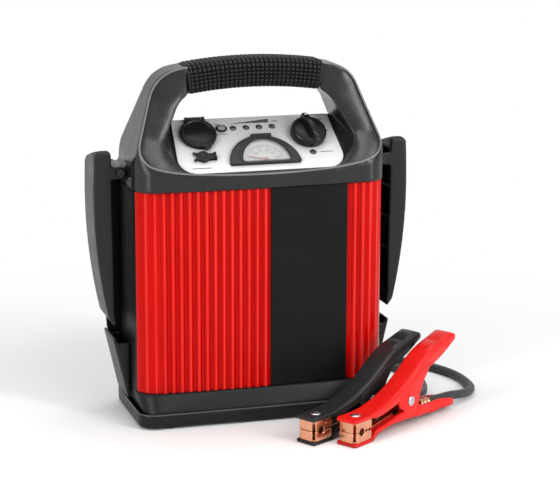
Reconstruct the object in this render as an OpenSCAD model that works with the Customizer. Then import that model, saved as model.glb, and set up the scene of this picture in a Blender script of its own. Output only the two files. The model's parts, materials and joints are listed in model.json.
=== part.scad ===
// Portable jump starter pack with a carry handle, side arms and two cable clamps.
// Millimetres. X is to the right, Y to the back, Z up. The origin is on the floor, in the middle of the
// base tray.

/* [Body] */
// Width of the red front panel
body_w = 229; // [206:1:260]
// Depth of the body from its front to its back
body_d = 90; // [88:1:110]
// How far the body sits behind the middle of the base
body_back = 2.5; // [0:0.5:5]
// Height of the body between the base and the top housing
body_h = 180; // [178:1:210]
// Wall of the plastic covers
wall = 2.4; // [2:0.1:3]
// Radius of the body's front corners
front_r = 20; // [12:1:28]
// Radius of the body's back corners
back_r = 16; // [10:1:24]
// How far the front bulges forward in the middle
front_bow = 3; // [1:0.5:5]
// Spacing of the ribs on the front panel
rib_pitch = 7.6; // [6:0.1:10]
// Radius of a rib
rib_r = 3.4; // [2:0.1:3.6]
// How far a rib stands out of the panel
rib_out = 1.6; // [1:0.1:2.2]
// Left edge of the smooth plate, from the middle
plate_x0 = 5; // [0:1:20]
// Width of the smooth plate
plate_w = 71; // [50:1:75]
// How far back the seam between front panel and rear cover lies
seam_back = 18; // [15:0.5:30]

/* [Base] */
// Width of the base tray
base_w = 233; // [230:1:260]
// Depth of the base tray
base_d = 108; // [104:1:130]
// Height of the tray's rim
tray_h = 14; // [12:1:18]
// Height of the tapering band above the tray
band_h = 15; // [12:1:20]
// Radius of the tray's corners
base_r = 15; // [10:1:20]
// Wall of the tray's rim
tray_wall = 2.5; // [2:0.1:3]
// Height of the rubber feet
foot_h = 2; // [1.5:0.1:4]
// Radius of the rubber feet
foot_r = 9; // [6:0.5:12]
// Clear width of the groove beside the band
groove = 2; // [1.5:0.5:4]

/* [Top housing] */
// Width of the top housing
top_w = 230; // [226:1:266]
// Height of its upright band below the rim
top_band = 13; // [10:1:18]
// Slope of the face above the rim, from level
face_slope = 58.5; // [52:0.5:64]
// Slope of the handle's front above the face, from level
leg_slope = 67; // [60:0.5:75]
// Height of the sloping face above the rim
face_h = 32; // [26:1:38]
// Width of the bright rim around the leg fascias
rim_w = 1.6; // [1.2:0.1:3]
// Wall of the top housing
top_wall = 2.6; // [2:0.1:3]

/* [Handle] */
// Height of the seam between the housing and the handle's arch above the floor
handle_z = 267; // [266:0.5:269]
// Height of the handle's crown above the floor
crown_z = 318.3; // [312:0.1:340]
// Radius of the handle's crown
crown_r = 420; // [300:10:600]
// Radius of the handle's outer shoulders
shoulder_r = 31; // [26:1:40]
// Lean of the handle's legs from upright
leg_lean = 19; // [16:1:24]
// Radius of the bend at the foot of each leg
leg_bend_r = 30; // [20:1:40]
// Distance of a shoulder's centre from the middle
shoulder_x = 66; // [62:0.5:70]
// Thickness of the handle under the crown
handle_t = 24; // [20:0.2:28]
// Depth of the handle from front to back
handle_d = 32; // [26:1:38]
// Where the handle's front lies behind the body's front
handle_set = 33; // [28:1:38]
// Radius of the opening's upper corners
opening_r = 14; // [8:1:18]
// Distance of the opening's corner centres from the middle
opening_x = 57.5; // [52:0.5:60]
// Lean of the opening's sides
opening_lean = 27; // [20:1:30]
// Half of the length of the rubber grip
grip_x = 61; // [50:1:64]
// How far the grip stands out of the handle
grip_out = 1.2; // [0.5:0.1:2]
// Angle between the grip's grooves, about the centre of the crown's arc
ring_turn = 0.7; // [0.65:0.01:0.72]
// Depth of the grip's grooves
groove_in = 0.6; // [0.3:0.1:0.9]
// Wall of the grip sleeve
grip_wall = 3; // [2:0.1:4]

/* [Control panel] */
// Width of the panel at its top edge
panel_w = 145; // [142:1:150]
// Width of the panel near its bottom edge
panel_low_w = 151; // [150:1:153]
// Length of the panel down its slope
panel_l = 64; // [62:0.5:68]
// Slope of the panel from level
panel_tilt = 38; // [35:0.5:41]
// Thickness of the panel plate
panel_t = 1.6; // [1:0.1:2.5]
// Radius of the panel's bottom corners
panel_r = 16; // [8:1:22]
// Top edge of the panel behind the middle of the base
panel_y = 10.5; // [8:0.5:13]
// Top edge of the panel above the floor
panel_z = 264; // [262:0.5:266]
// Bore of the 12 V outlet
outlet_bore = 21.2; // [20:0.1:22]
// Depth of the 12 V outlet
outlet_depth = 36; // [30:1:40]
// Diameter of the outlet's cap
cap_d = 33; // [30:0.5:36]
// Thickness of the outlet's cap
cap_t = 3.4; // [2.5:0.1:5]
// Outlet's place across the panel
outlet_u = -51.7; // [-54:0.1:-50]
// Outlet's place down the panel
outlet_v = -19.8; // [-22:0.1:-19.5]
// Charging jack's place across the panel
jack_u = -52.3; // [-55:0.1:-50]
// Charging jack's place down the panel
jack_v = -46; // [-48:0.1:-45]
// Radius of the charging jack's cap
jack_r = 6; // [5:0.1:7]
// Diameter of the power knob
knob_d = 32; // [28:0.5:34]
// Height of the power knob's round body
knob_h = 9; // [7:0.5:12]
// Height of the knob's bar above its body
knob_bar_h = 8; // [5:0.5:9]
// Width of the knob's bar
knob_bar_w = 8; // [6:0.5:10]
// Angle of the knob at rest, to the left of up
knob_rest = 12; // [0:1:30]
// Knob's place across the panel
knob_u = 48.5; // [46:0.1:51]
// Knob's place down the panel
knob_v = -24.5; // [-26:0.1:-22]
// Diameter of the rotary switch's shaft
shaft_d = 6; // [5:0.5:7]
// Radius of the gauge's half-round bezel
gauge_r = 32.5; // [30:0.5:33]
// Gauge's place across the panel
gauge_u = 2.6; // [0:0.1:5]
// Gauge's place down the panel
gauge_v = -57.3; // [-58:0.1:-56]
// Half of the width of the gauge's window
window_x = 21.5; // [18:0.5:23]
// Height of the gauge's window
window_h = 25; // [20:0.5:26]
// Height of the gauge's bezel above the panel
bezel_h = 3; // [2:0.2:4]
// Length of the battery test button
button_l = 8; // [6:0.1:9]
// Width of the battery test button
button_w = 5.4; // [4:0.1:6]
// Travel of the battery test button
button_travel = 1.2; // [0.8:0.1:1.5]
// Diameter of a light on the panel
light_d = 4.6; // [3:0.1:6]
// Spacing of the battery lights
light_pitch = 12; // [10:0.1:13]

/* [Arms and hooks] */
// Gap between the body's side and the arm's inner edge
arm_gap = 14.5; // [14:0.5:20]
// Thickness of the arm at its top
arm_t = 15.5; // [14:0.5:20]
// Thickness of the arm near its tip
arm_tip_t = 4; // [3:0.5:7]
// Depth of the arm from front to back
arm_d = 42; // [36:1:44]
// Middle of the arm behind the middle of the base
arm_y = 16.5; // [14:0.5:18]
// Top of the arm above the floor
arm_top = 242; // [238:0.5:244]
// Tip of the arm above the floor
arm_tip = 84; // [77:0.5:90]
// Bulge of the arm's outer edge
arm_bulge = 4.4; // [2:0.2:6]
// Rounding of the arm's upper front edge
arm_round = 4; // [3:0.5:12]
// Spacing of the arm's inner ribs
arm_rib_pitch = 29; // [22:1:40]
// Wall of the arm
arm_wall = 2.5; // [2:0.1:3]
// How far the arm's top falls to the back
arm_fall = 9; // [4:0.5:12]
// Height of the arm's pin above the floor
pin_z = 222; // [220:0.5:224]
// Distance of the arm's pin from the top housing's side
pin_out = 6.5; // [6.2:0.1:6.8]
// Diameter of the arm's pin
pin_d = 5; // [4:0.5:6]
// How far the hook's lip stands out from the body
hook_out = 15.5; // [14:0.5:20]
// Height of the hook's lip above the floor
hook_top = 72; // [66:0.5:74]

/* [Battery and compressor] */
// Width of the battery
battery_w = 181; // [150:1:182]
// Depth of the battery
battery_d = 77; // [70:1:78]
// Height of the battery's case
battery_h = 167; // [150:1:167]
// Room between the battery and the body's right side, behind the rounded corners
battery_side = 13; // [13:0.5:14]
// Diameter of the compressor's motor
motor_d = 26; // [22:0.5:26]
// Length of the compressor's motor
motor_l = 62; // [50:1:70]

/* [Clamps and cables] */
// Length of a clamp
clamp_l = 147; // [147:1:160]
// Width of a clamp
clamp_w = 20.6; // [18:0.2:21]
// Distance of the pivot from the nose
pivot_s = 79; // [77:0.5:81]
// Height of the pivot above the floor
pivot_z = 24; // [23.5:0.1:25]
// Diameter of the pivot pin
pivot_d = 6; // [5:0.2:7]
// Radius of the cheeks around the pivot
cheek_r = 12.5; // [11:0.5:13]
// Thickness of one outer cheek
cheek_t = 2.6; // [2:0.1:3]
// Thickness of the copper jaws
copper_t = 1.5; // [1:0.1:2]
// Length of the copper jaws
copper_l = 23; // [18:1:26]
// Diameter of the cables
cable_d = 8; // [7:0.5:9]

/* [Fits] */
// Radial clearance of a turning pin
pin_fit = 0.05; // [0.02:0.01:0.08]
// Gap between pieces that move past each other
gap = 0.35; // [0.3:0.05:0.5]

/* [Hidden] */
$fn = 48;
eps = 0.01;

// Heights of the seams between the big shells
band_z = tray_h;
deck_z = band_z + band_h;
split_z = deck_z + body_h;
rim_z = split_z + top_band;
// Sides of the body
body_x = body_w / 2;
body_y0 = body_back - body_d / 2;
body_y1 = body_back + body_d / 2;
seam_y = body_y0 + seam_back;
deck_t = 3;
// Top housing
top_x = top_w / 2;
top_y0 = body_y0 - 1.5;
top_y1 = body_y1 + 1;
handle_y0 = body_y0 + handle_set;
handle_y1 = handle_y0 + handle_d;
// Side arms, on the left and on the right
arm_x0 = top_x + arm_gap;
arm_x1 = arm_x0 + arm_t;
pin_x = top_x + pin_out;
ear_r = 5.8;
lug_r = 5.4;
hook_x = body_x + hook_out;

// ---- shared shapes ----

// Points along an arc, in a plane
function arc(cx, cy, r, a0, a1, n) =
    [for (i = [0:n]) let (a = a0 + (a1 - a0) * i / n) [cx + r * cos(a), cy + r * sin(a)]];

function unit(v) = v / norm(v);

// A counter-clockwise outline moved inwards by d
function inset(p, d) = let (n = len(p)) [for (i = [0:n - 1]) let (
    e1 = unit(p[i] - p[(i + n - 1) % n]), e2 = unit(p[(i + 1) % n] - p[i]),
    n1 = [-e1.y, e1.x], n2 = [-e2.y, e2.x]
) p[i] + (n1 + n2) * d / (1 + n1 * n2)];

// A rounded rectangle whose front edge bows forward, seen from above
function plan(hw, y0, y1, rf, rb, bow) = let (
    chord = hw - rf, bow_r = (chord * chord + bow * bow) / (2 * bow), half = asin(chord / bow_r)
) concat(
    arc(0, y0 + bow_r, bow_r, -90 - half, -90 + half, 16),
    arc(hw - rf, y0 + bow + rf, rf, -80, 0, 8),
    arc(hw - rb, y1 - rb, rb, 0, 90, 8),
    arc(rb - hw, y1 - rb, rb, 90, 180, 8),
    arc(rf - hw, y0 + bow + rf, rf, 180, 260, 8)
);

// Seen from the side as (Y, Z), seen from the front as (X, Z), seen from above as (X, Y)
module along_x(x0, x1) {
    translate([x0, 0, 0]) rotate([90, 0, 90]) linear_extrude(x1 - x0) children();
}
module along_y(y0, y1) {
    translate([0, y1, 0]) rotate([90, 0, 0]) linear_extrude(y1 - y0) children();
}
module along_z(z0, z1) {
    translate([0, 0, z0]) linear_extrude(z1 - z0) children();
}
module rod_y(x, z, r, y0, y1) {
    translate([x, y1, z]) rotate([90, 0, 0]) cylinder(r = r, h = y1 - y0);
}
module mirrored(left) {
    if (left) mirror([1, 0, 0]) children();
    else children();
}

// Places children on the panel: u across, v up the slope from the top edge, h off its face
module on_panel(u, v, h = 0) {
    translate([0, panel_y, panel_z]) rotate([panel_tilt, 0, 0]) translate([u, v, h]) children();
}

// ---- base ----

module tray_plan(d = 0) {
    polygon(inset(plan(base_w / 2, -base_d / 2, base_d / 2, base_r, base_r, 1), d));
}
tray_floor = 3;
band_x = base_w / 2 - tray_wall - groove;
module band_plan() {
    polygon(plan(band_x, -base_d / 2 + tray_wall + gap, base_d / 2 - tray_wall - gap, base_r, base_r, 1));
}
screw_spots = [for (x = [-0.86, 0, 0.86], y = [-0.36, 0.36]) [x * body_x, y * base_d]];

module bottom_tray() color([0.16, 0.16, 0.17]) difference() {
    along_z(foot_h, tray_h) tray_plan();
    along_z(foot_h + tray_floor, tray_h + 1) tray_plan(tray_wall);
    for (p = screw_spots) translate([p.x, p.y, foot_h - 1]) {
        cylinder(r = 2.1, h = tray_floor + 2);
        cylinder(r = 4, h = 2.2);
    }
}

module rubber_feet() color([0.08, 0.08, 0.08])
    for (x = [-1, 1], y = [-1, 1])
        translate([x * (base_w / 2 - 27), y * (base_d / 2 - 15), 0]) cylinder(r = foot_r, h = foot_h);

module lower_frame() color([0.2, 0.2, 0.21]) difference() {
    union() {
        along_z(foot_h + tray_floor, band_z) band_plan();
        hull() {
            along_z(band_z - 0.1, band_z) band_plan();
            along_z(deck_z - 1, deck_z) polygon(plan(body_x + 0.5, body_y0 - 0.8, body_y1 + 0.5, front_r,
                back_r, front_bow));
        }
    }
    difference() {
        along_z(foot_h, deck_z - deck_t) polygon(inset(plan(band_x, body_y0 + 3, body_y1, base_r, base_r, 1),
            3));
        for (p = screw_spots) translate([p.x, p.y, 0]) cylinder(r = 4.5, h = deck_z);
    }
    for (p = screw_spots) translate([p.x, p.y, foot_h]) cylinder(r = 1.7, h = 20);
}

// Screws that hold the tray to the lower frame
module base_screws() color([0.6, 0.6, 0.62])
    for (p = screw_spots) translate([p.x, p.y, foot_h - 1]) {
        translate([0, 0, 1.2]) cylinder(r = 3.8, h = 1);
        translate([0, 0, 1.2]) cylinder(r = 1.7, h = 17);
    }

// ---- body ----

module body_ring(y_from, y_to, x = body_x, y0 = body_y0 + rib_out) {
    intersection() {
        along_z(deck_z, split_z) difference() {
            polygon(plan(x, y0, body_y1, front_r, back_r, front_bow));
            polygon(inset(plan(x, y0, body_y1, front_r, back_r, front_bow), wall));
        }
        translate([-base_w, y_from, 0]) cube([2 * base_w, y_to - y_from, crown_z]);
    }
}
// Front face of the panel between the ribs, at a place across it
function face_y(x) = let (chord = body_x - front_r, r = (chord * chord + front_bow * front_bow) /
    (2 * front_bow)) body_y0 + rib_out + r - sqrt(r * r - x * x);
rib_first = -floor((body_x - front_r) / rib_pitch);
rib_last = -rib_first;
plate_x1 = plate_x0 + plate_w;
post_x = body_x - back_r - 2;
post_z = split_z - 5.5;

module front_panel() color([0.8, 0.06, 0.05]) union() {
    body_ring(-base_d, seam_y);
    difference() {
        for (i = [rib_first:rib_last]) {
            x = i * rib_pitch;
            if (x < plate_x0 - rib_r || x > plate_x1 + rib_r)
                translate([x, face_y(x) - rib_out + rib_r, deck_z]) cylinder(r = rib_r, h = body_h, $fn = 32);
        }
        along_z(deck_z - 1, split_z + 1) polygon(inset(plan(body_x, body_y0 + rib_out, body_y1, front_r,
            back_r, front_bow), wall / 2));
    }
    // posts for the rear screws
    for (s = [-1, 1]) difference() {
        intersection() {
            rod_y(s * post_x, post_z, 4, body_y0, body_y1 - wall - gap);
            along_z(deck_z, split_z) polygon(inset(plan(body_x, body_y0 + rib_out, body_y1, front_r, back_r,
                front_bow), wall / 2));
        }
        rod_y(s * post_x, post_z, 1.4, body_y1 - 20, body_y1);
    }
}

module label_plate() color([0.13, 0.13, 0.14]) difference() {
    along_z(deck_z + gap, split_z - gap) polygon(concat(
        [for (i = [0:8]) let (x = plate_x0 + plate_w * i / 8) [x, face_y(x) - rib_out]],
        [for (i = [8:-1:0]) let (x = plate_x0 + plate_w * i / 8) [x, face_y(x) + wall / 2]]
    ));
    body_ring(-base_d, seam_y);
}

gland_z = 42;
gland_xs = [-20, -75];
gland_r = 6.3;
fitting_x = -91;
fitting_z = 150;
vent_pitch = 7;

// Flanges on both sides, behind the arms, which keep a wound cable in its place
flange_y = arm_y + arm_d / 2 + 2.5;
flange_t = 2.6;
module side_flanges(z0, z1, x0) intersection() {
    for (s = [0, 1]) mirrored(s == 1) along_y(flange_y, flange_y + flange_t) polygon([
        [x0, deck_z + 3], [body_x + 1, deck_z + 3], [hook_x - 4, hook_top], [arm_x0 - 2.5, hook_top + 14],
        [arm_x0 - 2.5, pin_z - 4], [arm_x0 - 5.5, pin_z - 1], [x0, pin_z - 1]
    ]);
    along_z(z0, z1) square(2 * base_w, center = true);
}

module rear_cover() color([0.16, 0.16, 0.17]) difference() {
    union() {
        body_ring(seam_y, base_d);
        side_flanges(deck_z, split_z, body_x - 5);
    }
    for (x = gland_xs) rod_y(x, gland_z, gland_r, body_y1 - 2 * wall, body_y1 + 1);
    rod_y(fitting_x, fitting_z, 5, body_y1 - 2 * wall, body_y1 + 1);
    for (s = [-1, 1]) rod_y(s * post_x, post_z, 1.9, body_y1 - 2 * wall, body_y1 + 1);
    // louvres over the compressor
    for (i = [0:7]) translate([-103, body_y1 - 2 * wall, 60 + i * vent_pitch]) cube([26, 3 * wall, 2.6]);
}

module rear_screws() color([0.6, 0.6, 0.62])
    for (s = [-1, 1]) {
        rod_y(s * post_x, post_z, 1.4, body_y1 - 18, body_y1 + 0.2);
        rod_y(s * post_x, post_z, 3.4, body_y1, body_y1 + 1.6);
    }

// ---- top housing and handle ----

crown_cz = crown_z - crown_r;
shoulder_reach = crown_r - shoulder_r;
shoulder_cz = crown_cz + sqrt(shoulder_reach * shoulder_reach - shoulder_x * shoulder_x);
shoulder_a = 90 - asin(shoulder_x / shoulder_reach);
bend_cx = top_x - leg_bend_r;
// The leg's straight line is tangent to the shoulder and to the bend
leg_end = [shoulder_x + shoulder_r * cos(leg_lean), shoulder_cz + shoulder_r * sin(leg_lean)];
bend_end_x = bend_cx + leg_bend_r * cos(leg_lean);
bend_cz = leg_end.y - (bend_end_x - leg_end.x) / tan(leg_lean) - leg_bend_r * sin(leg_lean);

// Half of an outline that rises on the right, and the whole made of it
function both(half) = concat(half, [for (i = [len(half) - 1:-1:0]) [-half[i].x, half[i].y]]);
arch_outline = both(concat(
    [[top_x, deck_z]],
    arc(bend_cx, bend_cz, leg_bend_r, 0, leg_lean, 4),
    arc(shoulder_x, shoulder_cz, shoulder_r, leg_lean, shoulder_a, 10),
    [for (i = [1:5]) let (a = shoulder_a + (90 - shoulder_a) * i / 5.5) [crown_r * cos(a), crown_cz + crown_r *
        sin(a)]]
));
under_r = crown_r - handle_t;
under_reach = under_r - opening_r;
opening_cz = crown_cz + sqrt(under_reach * under_reach - opening_x * opening_x);
opening_a = 90 - asin(opening_x / under_reach);
opening_end = [opening_x + opening_r * cos(opening_lean), opening_cz + opening_r * sin(opening_lean)];
hump_z = panel_z - panel_t / cos(panel_tilt) + 0.6;
flare_h = 8;
flare_w = 10.5;
well_x = opening_end.x + (opening_end.y - hump_z) * tan(opening_lean);
opening_outline = both(concat(
    [[well_x + 12, deck_z], [well_x + 12, hump_z - 12 / tan(opening_lean)]],
    arc(opening_x, opening_cz, opening_r, opening_lean, opening_a, 6),
    [for (i = [1:5]) let (a = opening_a + (90 - opening_a) * i / 5.5) [under_r * cos(a), crown_cz + under_r *
        sin(a)]]
));

// Side view of the housing and the handle
face_y1 = top_y0 + face_h / tan(face_slope);
leg_top_z = rim_z + face_h + (handle_y0 - face_y1) * tan(leg_slope);
back_low_z = 230;
back_high_z = 294;
far = 12;
side_outline = [
    [top_y1, deck_z], [top_y1, back_low_z], [handle_y1, back_high_z], [handle_y1, crown_z + 40],
    [handle_y0, crown_z + 40], [handle_y0, leg_top_z], [face_y1, rim_z + face_h],
    [top_y0 - far, rim_z - far * tan(face_slope)], [top_y0 - far, deck_z]
];
side_inner = inset(side_outline, top_wall);
top_plan = plan(top_x, top_y0, top_y1, front_r + 2, back_r + 2, front_bow);
ledge_t = 2.5;

// The well's outline along the panel, grown sideways by side and down the slope by d
module u_outline(d, side) {
    r = panel_r + side;
    hw = panel_low_w / 2 + side;
    polygon(both(concat(
        arc(hw - r, -panel_l - d + r, r, -90, 0, 8),
        [[max(hw, panel_w / 2 + side), 120]]
    )));
}
// Everything above the panel's floor and above the slope behind it, grown downwards by d
module above_floor(d) {
    union() {
        // walls that flare away from the panel
        hull() {
            on_panel(0, 0, -panel_t - d) linear_extrude(0.1) u_outline(0.4 + d, 0.4 + d);
            on_panel(0, 0, flare_h) linear_extrude(160) u_outline(1 + d, flare_w + d);
        }
        along_x(-top_x - 20, top_x + 20) polygon([
            [panel_y + (panel_t + d) * sin(panel_tilt), hump_z - d],
            [panel_y + 8, hump_z - d], [panel_y + 58, hump_z - d - 50],
            [panel_y + 58, crown_z + 60], [panel_y + (panel_t + d) * sin(panel_tilt), crown_z + 60]
        ]);
    }
}
module well(d) {
    intersection() {
        along_y(-base_d, base_d) polygon(inset(opening_outline, -d));
        above_floor(d);
    }
}
module housing_solid(d, side, z0) {
    intersection() {
        along_y(-base_d, base_d) polygon(inset(arch_outline, d));
        along_x(-top_x - 5, top_x + 5) polygon(side);
        along_z(z0, crown_z + 10) polygon(inset(top_plan, d));
    }
}
// The part of the handle under the rubber grip, d longer at each end
module grip_zone(d) {
    translate([-grip_x - d, -base_d, under_r + crown_cz - 20]) cube([2 * (grip_x + d), 2 * base_d, 80]);
}
module grip_core() {
    intersection() {
        grip_zone(1);
        along_y(-base_d, base_d) difference() {
            polygon(inset(arch_outline, grip_wall));
            polygon(inset(opening_outline, -grip_wall));
        }
        along_x(-top_x, top_x) polygon(inset(side_outline, grip_wall));
    }
}
// A skin on the sloping face and the handle's front, inside the rim
fascia_x = 56;
module fascia_zone() {
    strip = [for (i = [4:7]) side_outline[i]];
    back = [for (i = [7:-1:4]) side_inner[i]];
    difference() {
        intersection() {
            along_x(-top_x - 5, top_x + 5) polygon(concat(strip, back));
            along_y(-base_d, base_d) polygon(inset(arch_outline, rim_w));
            along_z(rim_z, crown_z + 10) polygon(inset(top_plan, rim_w));
        }
        well(0);
        translate([-fascia_x, -base_d, deck_z]) cube([2 * fascia_x, base_d, rim_z + 18 - deck_z]);
        grip_zone(0);
    }
}
// Panel cut-outs in the deck under the plate, grown by d
module deck_holes(d, depth) {
    on_panel(outlet_u, outlet_v, -depth) cylinder(r = outlet_bore / 2 + 1.6 + d, h = depth + 1);
    on_panel(jack_u, jack_v, -depth) cylinder(r = 4 + d, h = depth + 1);
    on_panel(knob_u, knob_v, -depth) cylinder(r = 5 + d, h = depth + 1);
    on_panel(gauge_u, gauge_v, -depth) linear_extrude(depth + 1) gauge_window(d);
    for (i = [0:3]) on_panel((i - 1.5) * light_pitch, light_v, -depth) cylinder(r = light_d / 2 + d, h =
        depth + 1);
    on_panel(fault_u, fault_v, -depth) cylinder(r = light_d / 2 + d, h = depth + 1);
    on_panel(button_u, light_v, -depth) linear_extrude(depth + 1) button_shape(d);
}
module arm_lug() {
    y0 = arm_y - arm_d / 2 + arm_wall + gap;
    y1 = arm_y + arm_d / 2 - arm_wall - gap;
    difference() {
        union() {
            rod_y(pin_x, pin_z, lug_r, y0, y1);
            translate([top_x - 1.5, y0, pin_z - lug_r]) cube([pin_x - top_x + 1.5, y1 - y0, 2 * lug_r]);
        }
        rod_y(pin_x, pin_z, pin_d / 2, y0 - 1, y1 + 1);
    }
}

module housing_shell() difference() {
    union() {
        difference() {
            housing_solid(0, side_outline, split_z);
            well(0);
            difference() {
                housing_solid(top_wall, side_inner, split_z + ledge_t);
                well(top_wall);
                // solid where the handle's core meets the legs
                grip_zone(grip_wall);
            }
            // open below, inside the ledge that stands on the body
            along_z(split_z - 1, split_z + ledge_t + eps) polygon(inset(plan(body_x, body_y0 + rib_out, body_y1,
                front_r, back_r, front_bow), wall + 1));
            fascia_zone();
            grip_zone(0);
        }
        grip_core();
        for (s = [0, 1]) mirrored(s == 1) arm_lug();
        side_flanges(split_z, crown_z, top_x - 5);
    }
    deck_holes(0.2, 8);
}
// The handle's arch is a moulding of its own, on top of the housing
module above_seam() {
    along_z(handle_z, 2 * crown_z) square(2 * base_w, center = true);
}
module top_housing() color([0.25, 0.25, 0.26]) difference() {
    housing_shell();
    above_seam();
}
module handle_arch() color([0.25, 0.25, 0.26]) intersection() {
    housing_shell();
    above_seam();
}

module leg_fascia(left) color([0.3, 0.3, 0.31]) intersection() {
    fascia_zone();
    translate([left ? -top_w : 0, -base_d, 0]) cube([top_w, 2 * base_d, crown_z + 40]);
}
module left_leg_fascia() leg_fascia(true);
module right_leg_fascia() leg_fascia(false);

grip_rings = 11;
// The space inside the handle's outline grown by d
module handle_space(d) {
    intersection() {
        along_y(-base_d, base_d) difference() {
            polygon(inset(arch_outline, -d));
            polygon(inset(opening_outline, d));
        }
        along_x(-top_x, top_x) polygon(inset(side_outline, -d));
    }
}
module handle_grip() color([0.1, 0.1, 0.1]) difference() {
    intersection() {
        grip_zone(0);
        handle_space(grip_out);
    }
    grip_core();
    // grooves between the rows of knobs
    difference() {
        for (i = [-grip_rings:grip_rings]) translate([0, handle_y0, crown_cz]) rotate([0, i * ring_turn, 0])
            translate([-0.5, -handle_d / 2, under_r - 5]) cube([1, 2 * handle_d, handle_t + 10]);
        handle_space(grip_out - groove_in);
    }
}

// ---- control panel ----

light_v = -12.7;
button_u = -28.8;
fault_u = 48.5;
fault_v = -45.5;
cap_hinge_v = outlet_v + cap_d / 2 + 1;
cap_hinge_h = 2.6;
jack_hinge = jack_r + 4.5;
window_u = 1.4;
window_v = 2.5;
jack_hinge_h = 2.5;

// Upper half of a round shape on a straight base, with small corners
module gauge_shape(r, low = 0) {
    polygon(both(concat([[r - 2, -low]], arc(r - 2, 2 - low, 2, -60, 0, 3),
        arc(0, 0, r, 6, 84, 12))));
}
module gauge_window(d) {
    translate([window_u, window_v]) scale([1, window_h / window_x]) gauge_shape(window_x + d);
}
module button_shape(d) {
    e = (button_l - button_w) / 2;
    for (s = [-1, 1]) translate([s * e, 0]) circle(r = button_w / 2 + d, $fn = 32);
    square([2 * e, button_w + 2 * d], center = true);
}

module control_panel() color([0.82, 0.82, 0.83]) difference() {
    on_panel(0, 0, -panel_t) linear_extrude(panel_t) polygon(both(concat(
        arc(panel_low_w / 2 - panel_r, panel_r - panel_l, panel_r, -90, 0, 8),
        [[panel_w / 2, -1], [panel_w / 2 - 1, 0]]
    )));
    deck_holes(0, 6);
}

module outlet_socket() color([0.12, 0.12, 0.12]) {
    r = outlet_bore / 2;
    on_panel(outlet_u, outlet_v) {
        difference() {
            union() {
                translate([0, 0, -outlet_depth - 2]) cylinder(r = r + 1.5, h = outlet_depth + 2);
                cylinder(r = cap_d / 2 - 0.5, h = 1);
            }
            translate([0, 0, -outlet_depth]) cylinder(r = r, h = outlet_depth + 5);
        }
        // ears for the cap's pin
        for (s = [-1, 1]) translate([s * 7.5 - 1.5, cap_hinge_v - outlet_v, 0]) rotate([90, 0, 90])
            difference() {
                union() {
                    translate([0, cap_hinge_h]) cylinder(r = 2, h = 3);
                    translate([-2, 0, 0]) cube([4, cap_hinge_h, 3]);
                    translate([-4.5, 0, 0]) cube([4, 1, 3]);
                }
                translate([0, cap_hinge_h, -1]) cylinder(r = 0.9, h = 5, $fn = 32);
            }
    }
}
module outlet_cap_pin() color([0.6, 0.6, 0.62])
    on_panel(outlet_u, cap_hinge_v, cap_hinge_h) rotate([0, 90, 0]) cylinder(r = 0.9, h = 18, center = true,
        $fn = 32);
module outlet_cap() color([0.12, 0.12, 0.12]) on_panel(outlet_u, outlet_v) {
    base = 1 + gap;
    difference() {
        union() {
            translate([0, 0, base]) cylinder(r = cap_d / 2, h = cap_t);
            // finger tab
            rotate([0, 0, -72]) translate([cap_d / 2 - 2, -4, base]) cube([4.5, 8, 2]);
            // hinge knuckle
            translate([-5.6, cap_hinge_v - outlet_v, cap_hinge_h]) rotate([0, 90, 0]) cylinder(r = 1.9,
                h = 11.2, $fn = 32);
            translate([-5.6, cap_d / 2 - 3, base]) cube([11.2, cap_hinge_v - outlet_v - cap_d / 2 + 3, 2.5]);
        }
        translate([-8, cap_hinge_v - outlet_v, cap_hinge_h]) rotate([0, 90, 0]) cylinder(r = 0.9 + pin_fit,
            h = 16, $fn = 32);
        // clear of the ears
        for (s = [-1, 1]) translate([s * 7.5 - 1.5 - gap, cap_hinge_v - outlet_v - 2.4, 0]) cube([3 + 2 * gap,
            6, 8]);
    }
}

module charge_jack() color([0.12, 0.12, 0.12]) on_panel(jack_u, jack_v) difference() {
    union() {
        translate([0, 0, -14]) cylinder(r = 4, h = 14);
        cylinder(r = jack_r - 0.6, h = 0.8);
        translate([0, -3.6, 0]) cube([jack_hinge + 1.4, 7.2, 0.8]);
        // ears and pin for the cap's strap
        for (y = [-3.6, 2.4]) {
            translate([jack_hinge, y + 1.2, jack_hinge_h]) rotate([90, 0, 0])
                cylinder(r = 1.3, h = 1.2, $fn = 32);
            translate([jack_hinge - 1.3, y, 0]) cube([2.6, 1.2, jack_hinge_h]);
        }
        translate([jack_hinge, 0, jack_hinge_h]) rotate([90, 0, 0]) cylinder(r = 0.7, h = 6, center = true,
            $fn = 32);
    }
    translate([0, 0, -12]) cylinder(r = 2.75, h = 14);
}
module charge_jack_cap() color([0.12, 0.12, 0.12]) on_panel(jack_u, jack_v) {
    base = 0.8 + gap;
    difference() {
        union() {
            translate([0, 0, base]) cylinder(r = jack_r, h = 2.2);
            translate([0, -2, base]) cube([jack_hinge, 4, 1.6]);
            translate([jack_hinge, 0, jack_hinge_h]) rotate([90, 0, 0]) cylinder(r = 1.3, h = 4, center = true,
                $fn = 32);
            translate([-jack_r - 4, -2.4, base]) cube([6, 4.8, 1.4]);
        }
        translate([jack_hinge, 0, jack_hinge_h]) rotate([90, 0, 0]) cylinder(r = 0.7 + pin_fit, h = 6, center =
            true, $fn = 32);
    }
}

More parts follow.
